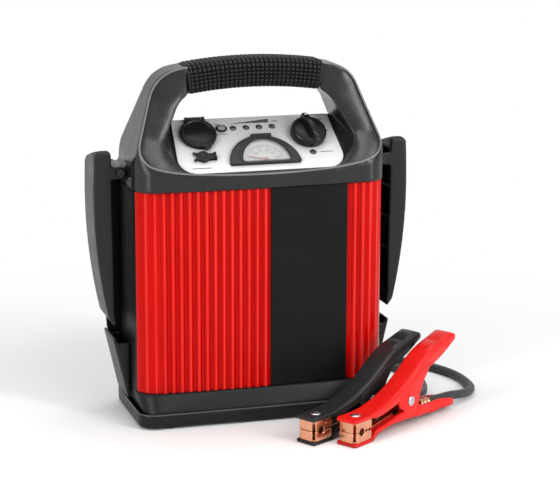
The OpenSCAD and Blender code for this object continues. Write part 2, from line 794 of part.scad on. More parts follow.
button_in = 3.4;
module battery_test_button() color([0.5, 0.5, 0.5]) on_panel(button_u, light_v) {
    translate([0, 0, -button_in]) linear_extrude(button_in + button_travel + 0.6) button_shape(-gap);
}
module battery_lights() color([0.1, 0.1, 0.1])
    for (i = [0:3]) on_panel((i - 1.5) * light_pitch, light_v) {
        translate([0, 0, -5]) cylinder(r = light_d / 2, h = 5.4);
        translate([0, 0, 0.4]) intersection() {
            sphere(r = light_d / 2, $fn = 32);
            cylinder(r = light_d, h = 1);
        }
    }
module fault_light() color([0.1, 0.1, 0.1]) on_panel(fault_u, fault_v) {
    translate([0, 0, -5]) cylinder(r = light_d / 2, h = 5.4);
    translate([0, 0, 0.4]) intersection() {
        sphere(r = light_d / 2, $fn = 32);
        cylinder(r = light_d, h = 1);
    }
}

module power_knob() color([0.1, 0.1, 0.1]) on_panel(knob_u, knob_v) rotate([0, 0, knob_rest]) difference() {
    r = knob_d / 2;
    union() {
        translate([0, 0, gap]) cylinder(r = r, h = knob_h - 2);
        translate([0, 0, knob_h - 2 + gap]) cylinder(r1 = r, r2 = r - 2, h = 2, $fn = 48);
        intersection() {
            translate([-knob_bar_w / 2, -r + 0.6, gap + 1])
                cube([knob_bar_w, 2 * r - 1.2, knob_h + knob_bar_h - 1]);
            // the bar's top is an arc from end to end
            translate([-knob_bar_w, 0, knob_h + knob_bar_h - 2.2 * r]) rotate([0, 90, 0]) cylinder(r = 2.2 * r,
                h = 2 * knob_bar_w, $fn = 96);
        }
    }
    translate([0, 0, -1]) cylinder(r = shaft_d / 2 + pin_fit, h = knob_h);
}
module rotary_switch() color([0.35, 0.35, 0.38]) on_panel(knob_u, knob_v) {
    translate([0, 0, -6]) cylinder(r = 4.6, h = 6);
    translate([0, 0, -27]) cylinder(r = 14, h = 27 - panel_t - top_wall);
    translate([0, 0, -7]) cylinder(r = shaft_d / 2, h = 7 + knob_h - 1.5);
}

module gauge_bezel() color([0.28, 0.28, 0.29]) on_panel(gauge_u, gauge_v) {
    difference() {
        union() {
            linear_extrude(bezel_h) gauge_shape(gauge_r);
            // hood over the dial's lamp
            translate([-7.6, gauge_r - 2, 0]) cube([19, 3.5, bezel_h + 0.8]);
        }
        translate([0, 0, -1]) linear_extrude(bezel_h + 3) gauge_window(0);
    }
}
dial_h = -0.6;
dial_pivot_v = 6;
module gauge_dial() color([0.95, 0.95, 0.93]) on_panel(gauge_u, gauge_v) difference() {
    union() {
        translate([0, 0, dial_h - 1]) linear_extrude(1) gauge_window(0);
        translate([0, 0, dial_h - 18]) linear_extrude(17) gauge_window(-2);
    }
    translate([window_u, dial_pivot_v, dial_h - 10]) cylinder(r = 0.8 + pin_fit, h = 12, $fn = 32);
}
module gauge_needle() color([0.75, 0.1, 0.1]) on_panel(gauge_u + window_u, gauge_v + dial_pivot_v) {
    translate([0, 0, dial_h - 8]) cylinder(r = 0.8, h = 9.4, $fn = 32);
    translate([0, 0, dial_h + 0.6]) cylinder(r = 2, h = 0.8, $fn = 32);
    translate([0, 0, dial_h + 0.6]) rotate([0, 0, 165]) translate([-3, -0.5, 0]) cube([19, 1, 0.6]);
}
module gauge_lens() color([0.9, 0.9, 0.9, 0.4]) on_panel(gauge_u, gauge_v)
    translate([0, 0, bezel_h - 1.6]) linear_extrude(1) gauge_window(0);

board_h = -panel_t - top_wall - 1;
module circuit_board() color([0.1, 0.35, 0.15]) difference() {
    union() {
        on_panel(-36, light_v - 9, board_h - 1.6) cube([66, 18, 1.6]);
        // spacers up to the deck
        for (u = [-22, 25]) on_panel(u, light_v - 6, board_h) cylinder(r = 2, h = 1);
    }
    on_panel(outlet_u, outlet_v, board_h - 3) cylinder(r = outlet_bore / 2 + 2.5, h = 6);
    on_panel(gauge_u, gauge_v, board_h - 3) cylinder(r = window_x + 1, h = 6);
}

// ---- arms and hooks ----

arm_y0 = arm_y - arm_d / 2;
arm_y1 = arm_y + arm_d / 2;
arm_knee = arm_top - 19;
arm_roof = arm_top - arm_fall - 3;
arm_heel = arm_tip + 7;
// The arm's outer edge: an arc from the knee to the heel
arm_chord = [arm_x0 + arm_tip_t - arm_x1, arm_heel - arm_knee];
arm_edge_r = (norm(arm_chord) * norm(arm_chord) / 4 + arm_bulge * arm_bulge) / (2 * arm_bulge);
arm_edge_mid = [(arm_x1 + arm_x0 + arm_tip_t) / 2, (arm_knee + arm_heel) / 2];
arm_edge_c = arm_edge_mid - unit([-arm_chord.y, arm_chord.x]) * (arm_edge_r - arm_bulge);
arm_edge_a0 = atan2(arm_heel - arm_edge_c.y, arm_x0 + arm_tip_t - arm_edge_c.x);
arm_edge_a1 = atan2(arm_knee - arm_edge_c.y, arm_x1 - arm_edge_c.x);
arm_outline = concat(
    [[arm_x0, arm_top - 4], [arm_x0 - 1.5, arm_tip + 12], [arm_x0 - 2.5, arm_tip + 2], [arm_x0 - 1, arm_tip]],
    arc(arm_edge_c.x, arm_edge_c.y, arm_edge_r, arm_edge_a0, arm_edge_a1, 16),
    arc(arm_x1 - 7, arm_top - 7, 7, 20, 90, 6),
    arc(arm_x0 + 4, arm_top - 4, 4, 90, 150, 3)
);
arm_ribs = floor((arm_knee - arm_tip - 30) / arm_rib_pitch);

module arm(left) color([0.25, 0.25, 0.26]) mirrored(left) difference() {
    union() {
        difference() {
            intersection() {
                along_y(arm_y0, arm_y1) polygon(arm_outline);
                along_x(0, base_w) polygon(concat(
                    [[arm_y0 - 1, 0], [arm_y1 + 1, 0], [arm_y1 + 1, arm_top - arm_fall - 6],
                        [arm_y1 - 5, arm_top - arm_fall]],
                    arc(arm_y0 + arm_round, arm_top - arm_round, arm_round, 75, 180, 8)
                ));
            }
            // channel, open towards the body
            intersection() {
                along_y(arm_y0 + arm_wall, arm_y1 - arm_wall) polygon(concat(
                    [[arm_x0 - 9, arm_top], [arm_x0 - 9, arm_tip - 5]],
                    [for (p = arc(arm_edge_c.x, arm_edge_c.y, arm_edge_r - arm_wall, arm_edge_a0,
                        arm_edge_a1, 16)) p],
                    [[arm_x1 - arm_wall - 2, arm_roof - 4], [arm_x1 - 8, arm_roof]]
                ));
                translate([0, -base_d, arm_heel + 4]) cube([base_w, 2 * base_d, arm_roof - arm_heel - 4]);
            }
        }
        for (i = [1:arm_ribs]) intersection() {
            along_y(arm_y0 + 1, arm_y1 - 1) polygon(arm_outline);
            translate([arm_x0 + 0.8, arm_y0, arm_knee - i * arm_rib_pitch]) cube([arm_t, arm_d, 2]);
        }
        for (y = [arm_y0, arm_y1 - arm_wall]) {
            rod_y(pin_x, pin_z, ear_r, y, y + arm_wall);
            translate([pin_x, y, pin_z - ear_r]) cube([arm_x0 - pin_x + 2, arm_wall, 2 * ear_r]);
        }
    }
    rod_y(pin_x, pin_z, pin_d / 2 + pin_fit, arm_y0 - 1, arm_y1 + 1);
}
module left_arm() arm(true);
module right_arm() arm(false);

module arm_pins() color([0.75, 0.75, 0.78]) for (s = [0, 1]) mirrored(s == 1) {
    rod_y(pin_x, pin_z, pin_d / 2, arm_y0 - gap - 1.5, arm_y1 + gap + 1.5);
    for (y = [arm_y0 - gap - 1.5, arm_y1 + gap]) rod_y(pin_x, pin_z, pin_d / 2 + 1.2, y, y + 1.5);
}

hook_foot = band_z + 3;
hook_wall = 2.5;
module hook(left) color([0.2, 0.2, 0.21]) mirrored(left) difference() {
    along_y(arm_y0, arm_y1) polygon([
        [body_x + 0.5, hook_foot], [body_x + 3, hook_foot], [hook_x, hook_top], [hook_x - 2, hook_top + 1],
        [hook_x - 5, hook_top - 4], [body_x, hook_top - 4], [body_x, deck_z + 0.5], [body_x + 0.5, deck_z + 0.5]
    ]);
    // the pocket, open at the top and closed by the body's side
    along_y(arm_y0 + hook_wall, arm_y1 - hook_wall) polygon([
        [body_x - 1, deck_z + 6], [body_x + 3.6, deck_z + 6], [hook_x - hook_wall, hook_top + 2],
        [body_x - 1, hook_top + 2]
    ]);
}
module left_hook() hook(true);
module right_hook() hook(false);

// ---- battery and compressor ----

battery_x0 = body_x - battery_side - battery_w;
battery_y0 = body_y1 - wall - 1.6 - battery_d;
terminal_h = 6;
module battery_case() color([0.22, 0.24, 0.28]) difference() {
    translate([battery_x0, battery_y0, deck_z]) cube([battery_w, battery_d, battery_h]);
    for (i = [0:5]) translate([battery_x0 + 4 + i * (battery_w - 6) / 6, battery_y0 + 6, deck_z + 3])
        cube([(battery_w - 6) / 6 - 4, battery_d - 12, battery_h - 40]);
}
module battery_cells() color([0.5, 0.5, 0.52])
    for (i = [0:5]) translate([battery_x0 + 4 + i * (battery_w - 6) / 6, battery_y0 + 6, deck_z + 3])
        cube([(battery_w - 6) / 6 - 4, battery_d - 12, 68]);
module battery_terminals() color([0.7, 0.55, 0.25])
    for (x = [16, battery_w - 28]) translate([battery_x0 + x, battery_y0 + 20, deck_z + battery_h])
        difference() {
            cube([12, 3, terminal_h]);
            translate([6, -1, 3]) rotate([-90, 0, 0]) cylinder(r = 1.6, h = 5);
        }
comp_x = -body_x + wall + 0.8 + motor_d / 2;
comp_y = body_back + 4;
module compressor_motor() color([0.6, 0.6, 0.62]) translate([comp_x, comp_y, deck_z]) {
    cylinder(r = motor_d / 2, h = motor_l);
    translate([0, 0, motor_l]) cylinder(r = 5, h = 4);
}
module compressor_head() color([0.7, 0.7, 0.72]) translate([comp_x, comp_y, deck_z + motor_l]) difference() {
    union() {
        translate([-motor_d / 2, -14, 0]) cube([motor_d, 36, 34]);
        // tongue to the rear cover
        translate([0, 0, 0]) cube([motor_d / 2, body_y1 - wall - comp_y, 34]);
        // finned cylinder
        translate([0, -14, 17]) rotate([90, 0, 0]) cylinder(r = 10, h = 12);
        for (i = [0:2]) translate([0, -15.5 - i * 4, 17]) rotate([90, 0, 0]) cylinder(r = motor_d / 2, h = 2);
    }
    translate([0, 0, -1]) cylinder(r = 5, h = 5);
}
module air_fitting() color([0.75, 0.6, 0.3]) {
    rod_y(fitting_x, fitting_z, 5, body_y1 - wall, body_y1);
    rod_y(fitting_x, fitting_z, 6.5, body_y1 - wall - 2, body_y1 - wall);
    rod_y(fitting_x, fitting_z, 3, body_y1, base_d / 2 - 0.5);
    rod_y(fitting_x, fitting_z, 5, body_y1, body_y1 + 2);
    // rigid pipe down to the compressor's head
    translate([fitting_x, body_y1 - wall - 5, deck_z + motor_l + 34]) cylinder(r = 3, h = fitting_z - deck_z
        - motor_l - 34 + 3);
    rod_y(fitting_x, fitting_z, 3, body_y1 - wall - 5, body_y1 - wall - 2);
}

// ---- cables ----

gland_out = 23;
gland_end_y = body_y1 + gland_out;
module gland(x) color([0.1, 0.1, 0.1]) translate([x, 0, gland_z]) {
    rod_y(0, 0, gland_r, body_y1 - wall, body_y1);
    rod_y(0, 0, gland_r + 2, body_y1, body_y1 + 3);
    translate([0, body_y1 + 3, 0]) rotate([-90, 0, 0]) cylinder(r1 = gland_r + 0.8, r2 = cable_d / 2 + 0.8,
        h = gland_out - 3, $fn = 48);
}
module red_cable_gland() gland(gland_xs[0]);
module black_cable_gland() gland(gland_xs[1]);

// Smooth points between the points of a route, n to each stretch
function bend(a, b, c, d, t) = 0.5 * (2 * b + (c - a) * t + (2 * a - 5 * b + 4 * c - d) * t * t +
    (3 * b - a - 3 * c + d) * t * t * t);
function smooth_route(p, n) = concat(
    [for (i = [0:len(p) - 2], j = [0:n - 1]) bend(p[max(i - 1, 0)], p[i], p[i + 1],
        p[min(i + 2, len(p) - 1)], j / n)],
    [p[len(p) - 1]]
);
function tangent(p, i) = unit(p[min(i + 1, len(p) - 1)] - p[max(i - 1, 0)]);
function ring(c, t, r, n) = let (s = unit(cross(t, [0, 0, 1])), u = cross(s, t))
    [for (k = [0:n - 1]) c + r * (cos(360 * k / n) * s + sin(360 * k / n) * u)];
module tube(route, d) {
    p = smooth_route(route, 2);
    sides = 10;
    n = len(p);
    points = [for (i = [0:n - 1]) each ring(p[i], tangent(p, i), d / 2, sides)];
    walls = [for (i = [0:n - 2], k = [0:sides - 1]) let (a = i * sides, b = (k + 1) % sides)
        [a + k, a + b, a + b + sides, a + k + sides]];
    polyhedron(points, concat([[for (k = [sides - 1:-1:0]) k]], walls,
        [[for (k = [0:sides - 1]) (n - 1) * sides + k]]), convexity = 10);
}

// Routes from the gland to the lug in the clamp
lie_z = cable_d / 2 + 0.1;
red_route = [
    [gland_xs[0], gland_end_y, gland_z], [-19, 84, 38], [-10, 101, 27], [8, 114, 17], [31, 122, 8],
    [58, 125, lie_z], [95, 121, lie_z], [132, 110, lie_z], [162, 90, lie_z], [184, 67, lie_z],
    [199, 43, lie_z], [207, 19, lie_z], [208, -8, lie_z], [202, -31, lie_z + 1], [188, -46, 7],
    [168.7, -57.9, 10], [142.6, -74.6, 11.7]
];
black_route = [
    [gland_xs[1], gland_end_y, gland_z], [-73, 84, 37], [-62, 100, 23], [-42, 109, 9], [-15, 111, lie_z],
    [20, 110, lie_z], [60, 109, lie_z], [98, 105, lie_z], [130, 93, lie_z], [151, 75, lie_z],
    [164, 52, lie_z], [169, 28, lie_z], [167, 4, lie_z], [160, -18, lie_z + 1], [152, -34, 7],
    [140.5, -46.2, 10], [113.4, -62.2, 11.7]
];
module red_cable() color([0.12, 0.12, 0.12]) tube(red_route, cable_d);
module black_cable() color([0.12, 0.12, 0.12]) tube(black_route, cable_d);

// ---- clamps ----
// Each clamp is drawn along +X from its nose, resting on the floor, and then placed.

red_nose = [42.4, -138.5];
red_turn = 32.6;
black_nose = [11, -123];
black_turn = 30.6;
module place_red() translate([red_nose.x, red_nose.y, 0]) rotate([0, 0, red_turn]) children();
module place_black() translate([black_nose.x, black_nose.y, 0]) rotate([0, 0, black_turn]) children();

half_w = clamp_w / 2;
sleeve_z = 11.7;
cheek_in = half_w - cheek_t;
seat_z = 12;
lip_t = 3;
upper_z0 = 21.2;
tail_w = clamp_w - 3;
module slab(w) along_y(-w / 2, w / 2) children();
module outside_cheeks(d) {
    // the space outside the inner cheeks, on both sides
    for (s = [-1, 1]) translate([0, s * (cheek_in - d + 10), 0]) cube([400, 20, 400], center = true);
}

module clamp_lower() difference() {
    union() {
        difference() {
            slab(clamp_w) polygon([
                [0, 0], [26, 0], [34, 5.2], [55, 8], [78, 7.5], [100, 5], [118, 4], [118, 14.5], [106, 14.5],
                [92, 17], [79, 17], [66, 16], [55, 13.5], [30, 9], [copper_l + 1, lip_t], [0, lip_t]
            ]);
            // clear of the upper half's cheeks
            intersection() {
                rod_y(pivot_s, pivot_z, cheek_r + 0.6, -half_w - 1, half_w + 1);
                outside_cheeks(gap);
            }
        }
        slab(tail_w) polygon([[110, 4.6], [clamp_l, 4], [clamp_l, 10], [126, 14.5], [110, 14.5]]);
        // inner cheeks
        slab(2 * (cheek_in - gap)) polygon([[pivot_s - 12, 10], [pivot_s + 14, 10], [pivot_s + 7, pivot_z + 5],
            [pivot_s - 7, pivot_z + 5]]);
    }
    // trough for the spring and the cable
    slab(2 * (cheek_in - gap - 2.6)) polygon([
        [62, 11], [84, 10.4], [104, 7.2], [112, 6.6], [clamp_l + 1, 6.6], [clamp_l + 1, 40], [62, 40]
    ]);
    slab(tail_w - 5) polygon([[108, 6.6], [clamp_l + 1, 6.6], [clamp_l + 1, 40], [108, 40]]);
    rod_y(pivot_s, pivot_z, pivot_d / 2, -half_w - 1, half_w + 1);
    translate([13, 0, -1]) cylinder(r = 2, h = 9);
    translate([13, 0, -eps]) cylinder(r = 4.2, h = 1.5);
}

module clamp_upper() difference() {
    union() {
        slab(clamp_w) polygon([
            [0, upper_z0], [26, upper_z0], [30, 19], [46, 22], [60, 24.5], [66, 29], [72, 34], [92, 34],
            [98, 47], [113, 51.5], [128, 58], [144, 66], [clamp_l - 3, 69], [142, 72.5], [127, 68.5],
            [106, 62.7], [93, 54.5], [71, 39.5], [47.5, 29], [24, 24.4], [0, 24.4]
        ]);
        // outer cheeks around the pivot
        intersection() {
            union() {
                rod_y(pivot_s, pivot_z, cheek_r, -half_w, half_w);
                slab(clamp_w) polygon([[62, 25], [pivot_s + 12.3, pivot_z], [92, 36], [70, 36]]);
            }
            outside_cheeks(0);
        }
    }
    // hollow underneath
    slab(2 * cheek_in) polygon([[60, 16], [60, 24.5], [72, 36], [93, 50], [106, 58.5], [126, 64.6], [139, 68],
        [142, 60], [100, 20]]);
    rod_y(pivot_s, pivot_z, pivot_d / 2 + pin_fit, -half_w - 1, half_w + 1);
    translate([13, 0, 15]) cylinder(r = 2, h = 15);
}

module clamp_pin() {
    rod_y(pivot_s, pivot_z, pivot_d / 2, -half_w - gap - 1.2, half_w + gap + 1.2);
    for (y = [-half_w - gap - 1.2, half_w + gap]) rod_y(pivot_s, pivot_z, pivot_d / 2 + 1.4, y, y + 1.2);
}
// Torsion spring: coils around the pin, one leg on each half
spring_r = 5;
wire_r = 0.8;
module clamp_spring() {
    translate([pivot_s, 0, pivot_z]) {
        for (i = [-1:1]) translate([0, 2.2 * i, 0]) rotate([90, 0, 0]) rotate_extrude() translate([spring_r, 0])
            circle(r = wire_r, $fn = 16);
        rotate([90, 0, 0]) cylinder(r = spring_r, h = 4.4, center = true);
        translate([0, -2.2, -spring_r]) rotate([0, 90 + 4, 0]) cylinder(r = wire_r, h = 22, $fn = 16);
        translate([0, 2.2, spring_r]) rotate([0, 52, 0]) cylinder(r = wire_r, h = 26, $fn = 16);
    }
}
// Copper jaw: a channel of sheet with teeth, drawn for the upper half
module copper(z_seat, z_teeth) {
    up = z_seat > z_teeth ? 1 : -1;
    hw = half_w - 0.8;
    tooth = 2 * up;
    difference() {
        union() {
            // plate against the half
            translate([1, -hw, min(z_seat, z_seat - copper_t * up)]) cube([copper_l, 2 * hw, copper_t]);
            // front plate
            translate([1, -hw, min(z_seat, z_teeth)]) cube([copper_t, 2 * hw, abs(z_seat - z_teeth)]);
            for (s = [-1, 1]) translate([0, s * (hw - copper_t / 2), 0]) slab(copper_t) polygon([
                [1, z_seat], [1, z_teeth], [7, z_teeth], [9, z_teeth + tooth * 1.6], [13, z_teeth + tooth * 1.6],
                [15, z_teeth], [17, z_teeth + tooth * 0.6], [19, z_teeth], [21, z_teeth + tooth * 0.6],
                [copper_l, z_teeth + tooth * 0.3], [copper_l + 1, z_teeth + tooth], [copper_l + 1, z_seat]
            ]);
        }
        translate([13, 0, 0]) cylinder(r = 2, h = 40);
    }
}
// Strip from the lower jaw to the sleeve that holds the cable
tail_t = 0.9;
sleeve_s = 118;
sleeve_l = 13;
sleeve_wall = 0.5;
module copper_tail() {
    line = [[copper_l, lip_t], [copper_l + 1, lip_t], [30, 9], [55, 13.5], [62, 15], [64, 11], [84, 10.4],
        [104, 7.2], [112, 6.6], [sleeve_s, 6.6]];
    slab(7) polygon(concat(line, [for (i = [len(line) - 1:-1:0]) line[i] + [0, tail_t]]));
    translate([sleeve_s - sleeve_l, 0, sleeve_z]) rotate([0, 90, 0]) cylinder(r = cable_d / 2 + sleeve_wall,
        h = sleeve_l);
}
module rivet_up() {
    translate([13, 0, upper_z0 - copper_t - 1]) cylinder(r = 2, h = copper_t + 1 + 3.2);
    translate([13, 0, 24.4]) cylinder(r1 = 3.8, r2 = 2.6, h = 1.3, $fn = 48);
}
module rivet_down() {
    translate([13, 0, 0.4]) cylinder(r = 2, h = lip_t + copper_t + 0.2);
    translate([13, 0, 0.4]) cylinder(r = 4, h = 1);
}

red_c = [0.85, 0.1, 0.1];
black_c = [0.15, 0.15, 0.16];
copper_c = [0.9, 0.55, 0.38];
steel_c = [0.75, 0.75, 0.78];
module red_clamp_upper() color(red_c) place_red() clamp_upper();
module red_clamp_lower() color(red_c) place_red() clamp_lower();
module red_clamp_pin() color(steel_c) place_red() clamp_pin();
module red_clamp_spring() color(steel_c) place_red() clamp_spring();
module red_jaw_upper() color(copper_c) place_red() copper(upper_z0, seat_z + gap);
module red_jaw_lower() color(copper_c) place_red() {
    copper(lip_t, seat_z);
    copper_tail();
}
module red_rivet_upper() color(steel_c) place_red() rivet_up();
module red_rivet_lower() color(steel_c) place_red() rivet_down();
module black_clamp_upper() color(black_c) place_black() clamp_upper();
module black_clamp_lower() color(black_c) place_black() clamp_lower();
module black_clamp_pin() color(steel_c) place_black() clamp_pin();
module black_clamp_spring() color(steel_c) place_black() clamp_spring();
module black_jaw_upper() color(copper_c) place_black() copper(upper_z0, seat_z + gap);
module black_jaw_lower() color(copper_c) place_black() {
    copper(lip_t, seat_z);
    copper_tail();
}
module black_rivet_upper() color(steel_c) place_black() rivet_up();
module black_rivet_lower() color(steel_c) place_black() rivet_down();

bottom_tray();
rubber_feet();
lower_frame();
front_panel();
label_plate();
rear_cover();
base_screws();
rear_screws();
top_housing();
handle_arch();
left_leg_fascia();
right_leg_fascia();
handle_grip();
control_panel();
outlet_socket();
outlet_cap();
outlet_cap_pin();
charge_jack();
charge_jack_cap();
battery_test_button();
battery_lights();
fault_light();
power_knob();
rotary_switch();
gauge_bezel();
gauge_dial();
gauge_needle();
gauge_lens();
circuit_board();
left_arm();
right_arm();
arm_pins();
left_hook();
right_hook();
battery_case();
battery_cells();
battery_terminals();
compressor_motor();
compressor_head();
air_fitting();
red_cable_gland();
black_cable_gland();
red_cable();
black_cable();
red_clamp_upper();
red_clamp_lower();
red_clamp_pin();
red_clamp_spring();
red_jaw_upper();
red_jaw_lower();
red_rivet_upper();
red_rivet_lower();
black_clamp_upper();
black_clamp_lower();
black_clamp_pin();
black_clamp_spring();
black_jaw_upper();
black_jaw_lower();
black_rivet_upper();
black_rivet_lower();
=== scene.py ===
import bpy
import bmesh
import json
import math
from mathutils import Matrix, Vector


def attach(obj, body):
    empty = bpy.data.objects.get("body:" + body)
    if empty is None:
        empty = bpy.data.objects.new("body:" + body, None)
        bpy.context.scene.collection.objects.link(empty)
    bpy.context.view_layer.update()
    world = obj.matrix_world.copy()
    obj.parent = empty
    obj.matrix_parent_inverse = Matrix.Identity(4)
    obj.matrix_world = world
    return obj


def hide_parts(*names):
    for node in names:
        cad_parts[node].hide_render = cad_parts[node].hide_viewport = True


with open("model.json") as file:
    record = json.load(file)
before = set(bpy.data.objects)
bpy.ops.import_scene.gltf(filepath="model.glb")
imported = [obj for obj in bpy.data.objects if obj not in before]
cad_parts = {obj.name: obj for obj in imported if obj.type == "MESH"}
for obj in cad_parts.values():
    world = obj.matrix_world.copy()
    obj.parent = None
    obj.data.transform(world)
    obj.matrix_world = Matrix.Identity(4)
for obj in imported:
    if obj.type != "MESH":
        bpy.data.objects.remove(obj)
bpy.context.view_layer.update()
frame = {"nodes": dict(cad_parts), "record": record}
print("frame in place,", len(frame["nodes"]), "nodes")

# ---- camera, floor and lamps ----

camera = {"eye": (-0.4752, -1.6214, 0.5372), "target": (0.0, 0.0035, 0.165), "lens": 123.8,
          "shift": (0.051, -0.045)}
lamps = {  # place, aim, width and height in metres, watts
    "keyLamp": ((1.45, -1.9, 1.15), (0, 0, 0.2), (0.35, 2.0), 29),
    "fillLamp": ((-2.1, -1.2, 1.1), (0, 0, 0.2), (0.35, 2.0), 16),
    "frontLamp": ((0.54, -1.85, 2.55), (0, 0, 0.24), (1.2, 0.4), 11),
    "topLamp": ((0.1, 0.35, 2.3), (0, 0, 0.1), (1.5, 1.0), 14),
    "leftStrip": ((-0.62, -0.5, 0.36), (0, 0, 0.2), (0.13, 0.72), 1.5),
    "rightStrip": ((0.66, -0.55, 0.36), (0, 0, 0.2), (0.13, 0.72), 1.3),
}
studio = {"world": 0.5, "floor": (0.92, 0.92, 0.92), "floorRoughness": 0.9, "floorSpecular": 0.1,
          "floorSize": 60, "fade": (0.17, 0.62)}


def aimed(spot, aim):
    turn = (Vector(aim) - Vector(spot)).to_track_quat("-Z", "Y")
    return Matrix.Translation(spot) @ turn.to_matrix().to_4x4()


def placed(name, data):
    # a new object in the scene
    thing = bpy.data.objects.new(name, data)
    bpy.context.scene.collection.objects.link(thing)
    return thing


def makeCamera():
    data = bpy.data.cameras.new("camera")
    data.sensor_width = 36
    data.lens = camera["lens"]
    data.shift_x, data.shift_y = camera["shift"]
    data.clip_start, data.clip_end = 0.05, 100
    eye = placed("camera", data)
    eye.matrix_world = aimed(camera["eye"], camera["target"])
    bpy.context.scene.camera = eye


def feed(tree, node, inputs):
    # a number, a colour or another node's output into each input
    for key, value in inputs.items():
        socket = node.inputs[key]
        if hasattr(value, "links"):
            tree.links.new(value, socket)
        else:
            socket.default_value = (*value, 1) if socket.type == "RGBA" else value


def grown(tree, kind, inputs=None, **settings):
    # a new shader node with its settings and inputs
    node = tree.nodes.new("ShaderNode" + kind)
    for key, value in settings.items():
        setattr(node, key, value)
    feed(tree, node, inputs or {})
    return node


def seenRays(tree):
    # 1 for what the camera sees, also by way of metal and glass
    rays = grown(tree, "LightPath").outputs
    value = rays["Is Camera Ray"]
    for kind in ("Is Glossy Ray", "Is Transmission Ray"):
        value = grown(tree, "Math", {0: value, 1: rays[kind]}, operation="MAXIMUM").outputs[0]
    return value


def makeLamps():
    for name, (spot, aim, size, power) in lamps.items():
        data = bpy.data.lights.new(name, "AREA")
        data.shape, data.energy = "RECTANGLE", power
        data.size, data.size_y = size
        placed(name, data).matrix_world = aimed(spot, aim)


def mixed(tree, share, first, second, output):
    # two shaders in the shares that a value gives
    mix = grown(tree, "MixShader", {0: share, 1: first.outputs[0], 2: second.outputs[0]})
    feed(tree, tree.nodes[output], {"Surface": mix.outputs[0]})


def makeWorld():
    # white where it is seen, softer where it only lights the object
    world = bpy.data.worlds.new("studio")
    bpy.context.scene.world = world
    world.use_nodes = True
    tree = world.node_tree
    plain = tree.nodes["Background"]
    feed(tree, plain, {"Color": (1, 1, 1), "Strength": studio["world"]})
    white = grown(tree, "Background", {"Strength": 1})
    mixed(tree, seenRays(tree), plain, white, "World Output")


def makeFloor():
    bm = bmesh.new()
    bmesh.ops.create_grid(bm, x_segments=1, y_segments=1, size=studio["floorSize"] / 2)
    mesh = bpy.data.meshes.new("floor")
    bm.to_mesh(mesh)
    bm.free()
    paper = bpy.data.materials.new("studioPaper")
    paper.use_nodes = True
    tree = paper.node_tree
    skin = tree.nodes["Principled BSDF"]
    feed(tree, skin, {"Base Color": studio["floor"], "Roughness": studio["floorRoughness"],
                      "Specular IOR Level": studio["floorSpecular"]})
    # away from the object the floor runs into the white background
    place = grown(tree, "TexCoord").outputs["Object"]
    reach = grown(tree, "VectorMath", {0: place}, operation="LENGTH").outputs["Value"]
    near, far = studio["fade"]
    fade = grown(tree, "MapRange", {"From Min": near, "From Max": far, "Value": reach},
                 interpolation_type="SMOOTHSTEP").outputs["Result"]
    share = grown(tree, "Math", {0: fade, 1: seenRays(tree)}, operation="MULTIPLY").outputs[0]
    mixed(tree, share, skin, grown(tree, "Emission"), "Material Output")
    mesh.materials.append(paper)
    placed("floor", mesh)


makeCamera()
makeLamps()
makeWorld()
makeFloor()
bpy.context.scene.view_settings.view_transform = "Standard"
print("camera and studio ready")

# ---- materials ----

blotches, sheen, wearAndHighlightGrain = 22, 60, 140  # how fine each noise is, per metre


class Finish:
    # a material under way: its node tree and a few short cuts
    def __init__(self, name):
        self.material = bpy.data.materials.new(name)
        self.material.use_nodes = True
        self.tree = self.material.node_tree
        self.place = self.add("TexCoord").outputs["Object"]

    def add(self, kind, inputs=None, **settings):
        return grown(self.tree, kind, inputs, **settings)

    def noise(self, scale, detail=2.0, roughness=0.5, stretch=None):
        place = self.place
        if stretch:
            place = self.add("Mapping", {"Scale": stretch, "Vector": place}).outputs[0]
        inputs = {"Scale": scale, "Detail": detail, "Roughness": roughness, "Vector": place}
        return self.add("TexNoise", inputs).outputs["Fac"]

    def along(self, axis):
        # the place along one axis, in metres
        return self.add("SeparateXYZ", {0: self.place}).outputs[axis]

    def span(self, value, low, high, fromLow=0.3, fromHigh=0.7):
        inputs = {"Value": value, "From Min": fromLow, "From Max": fromHigh, "To Min": low, "To Max": high}
        return self.add("MapRange", inputs).outputs["Result"]

    def product(self, first, second):
        return self.add("Math", {0: first, 1: second}, operation="MULTIPLY").outputs[0]

    def blend(self, factor, first, second, way="MIX"):
        inputs = {0: factor, 6: first, 7: second}
        return self.add("Mix", inputs, data_type="RGBA", blend_type=way).outputs[2]

    def blotchy(self, colour, spread):
        # soft blotches either side of a colour
        share = self.span(self.noise(blotches, 3), 0, 1)
        return self.blend(share, scaled(colour, 1 - spread), scaled(colour, 1 + spread))

    def rounded(self, radius):
        return self.add("Bevel", {"Radius": radius}, samples=6).outputs[0]

    def withPaintedShade(self, colour, depth=0.55, reach=0.012):
        # painted shade: darker in grooves and corners, where the occlusion node finds surfaces close by
        near = self.add("AmbientOcclusion", {"Distance": reach}, samples=5).outputs["AO"]
        return self.blend(1, colour, self.span(near, 1 - depth, 1, 0.2, 0.95), "MULTIPLY")

    def edge(self, roundNormal):
        # 1 along outer and inner edges, 0 on open faces
        flatNormal = self.add("NewGeometry").outputs["Normal"]
        dot = self.add("VectorMath", {0: flatNormal, 1: roundNormal}, operation="DOT_PRODUCT")
        return self.span(dot.outputs["Value"], 1, 0, 0.80, 0.985)

    def bump(self, height, depth, normal=None):
        inputs = {"Height": height, "Distance": depth, "Strength": 1}
        if normal is not None:
            inputs["Normal"] = normal
        return self.add("Bump", inputs).outputs[0]

    def set(self, **values):
        names = {"colour": "Base Color", "roughness": "Roughness", "metallic": "Metallic", "alpha": "Alpha",
                 "specular": "Specular IOR Level", "coat": "Coat Weight", "coatRoughness": "Coat Roughness",
                 "normal": "Normal"}
        inputs = {names[key]: value for key, value in values.items()}
        feed(self.tree, self.tree.nodes["Principled BSDF"], inputs)


def scaled(colour, k):
    return tuple(min(1, c * k) for c in colour)


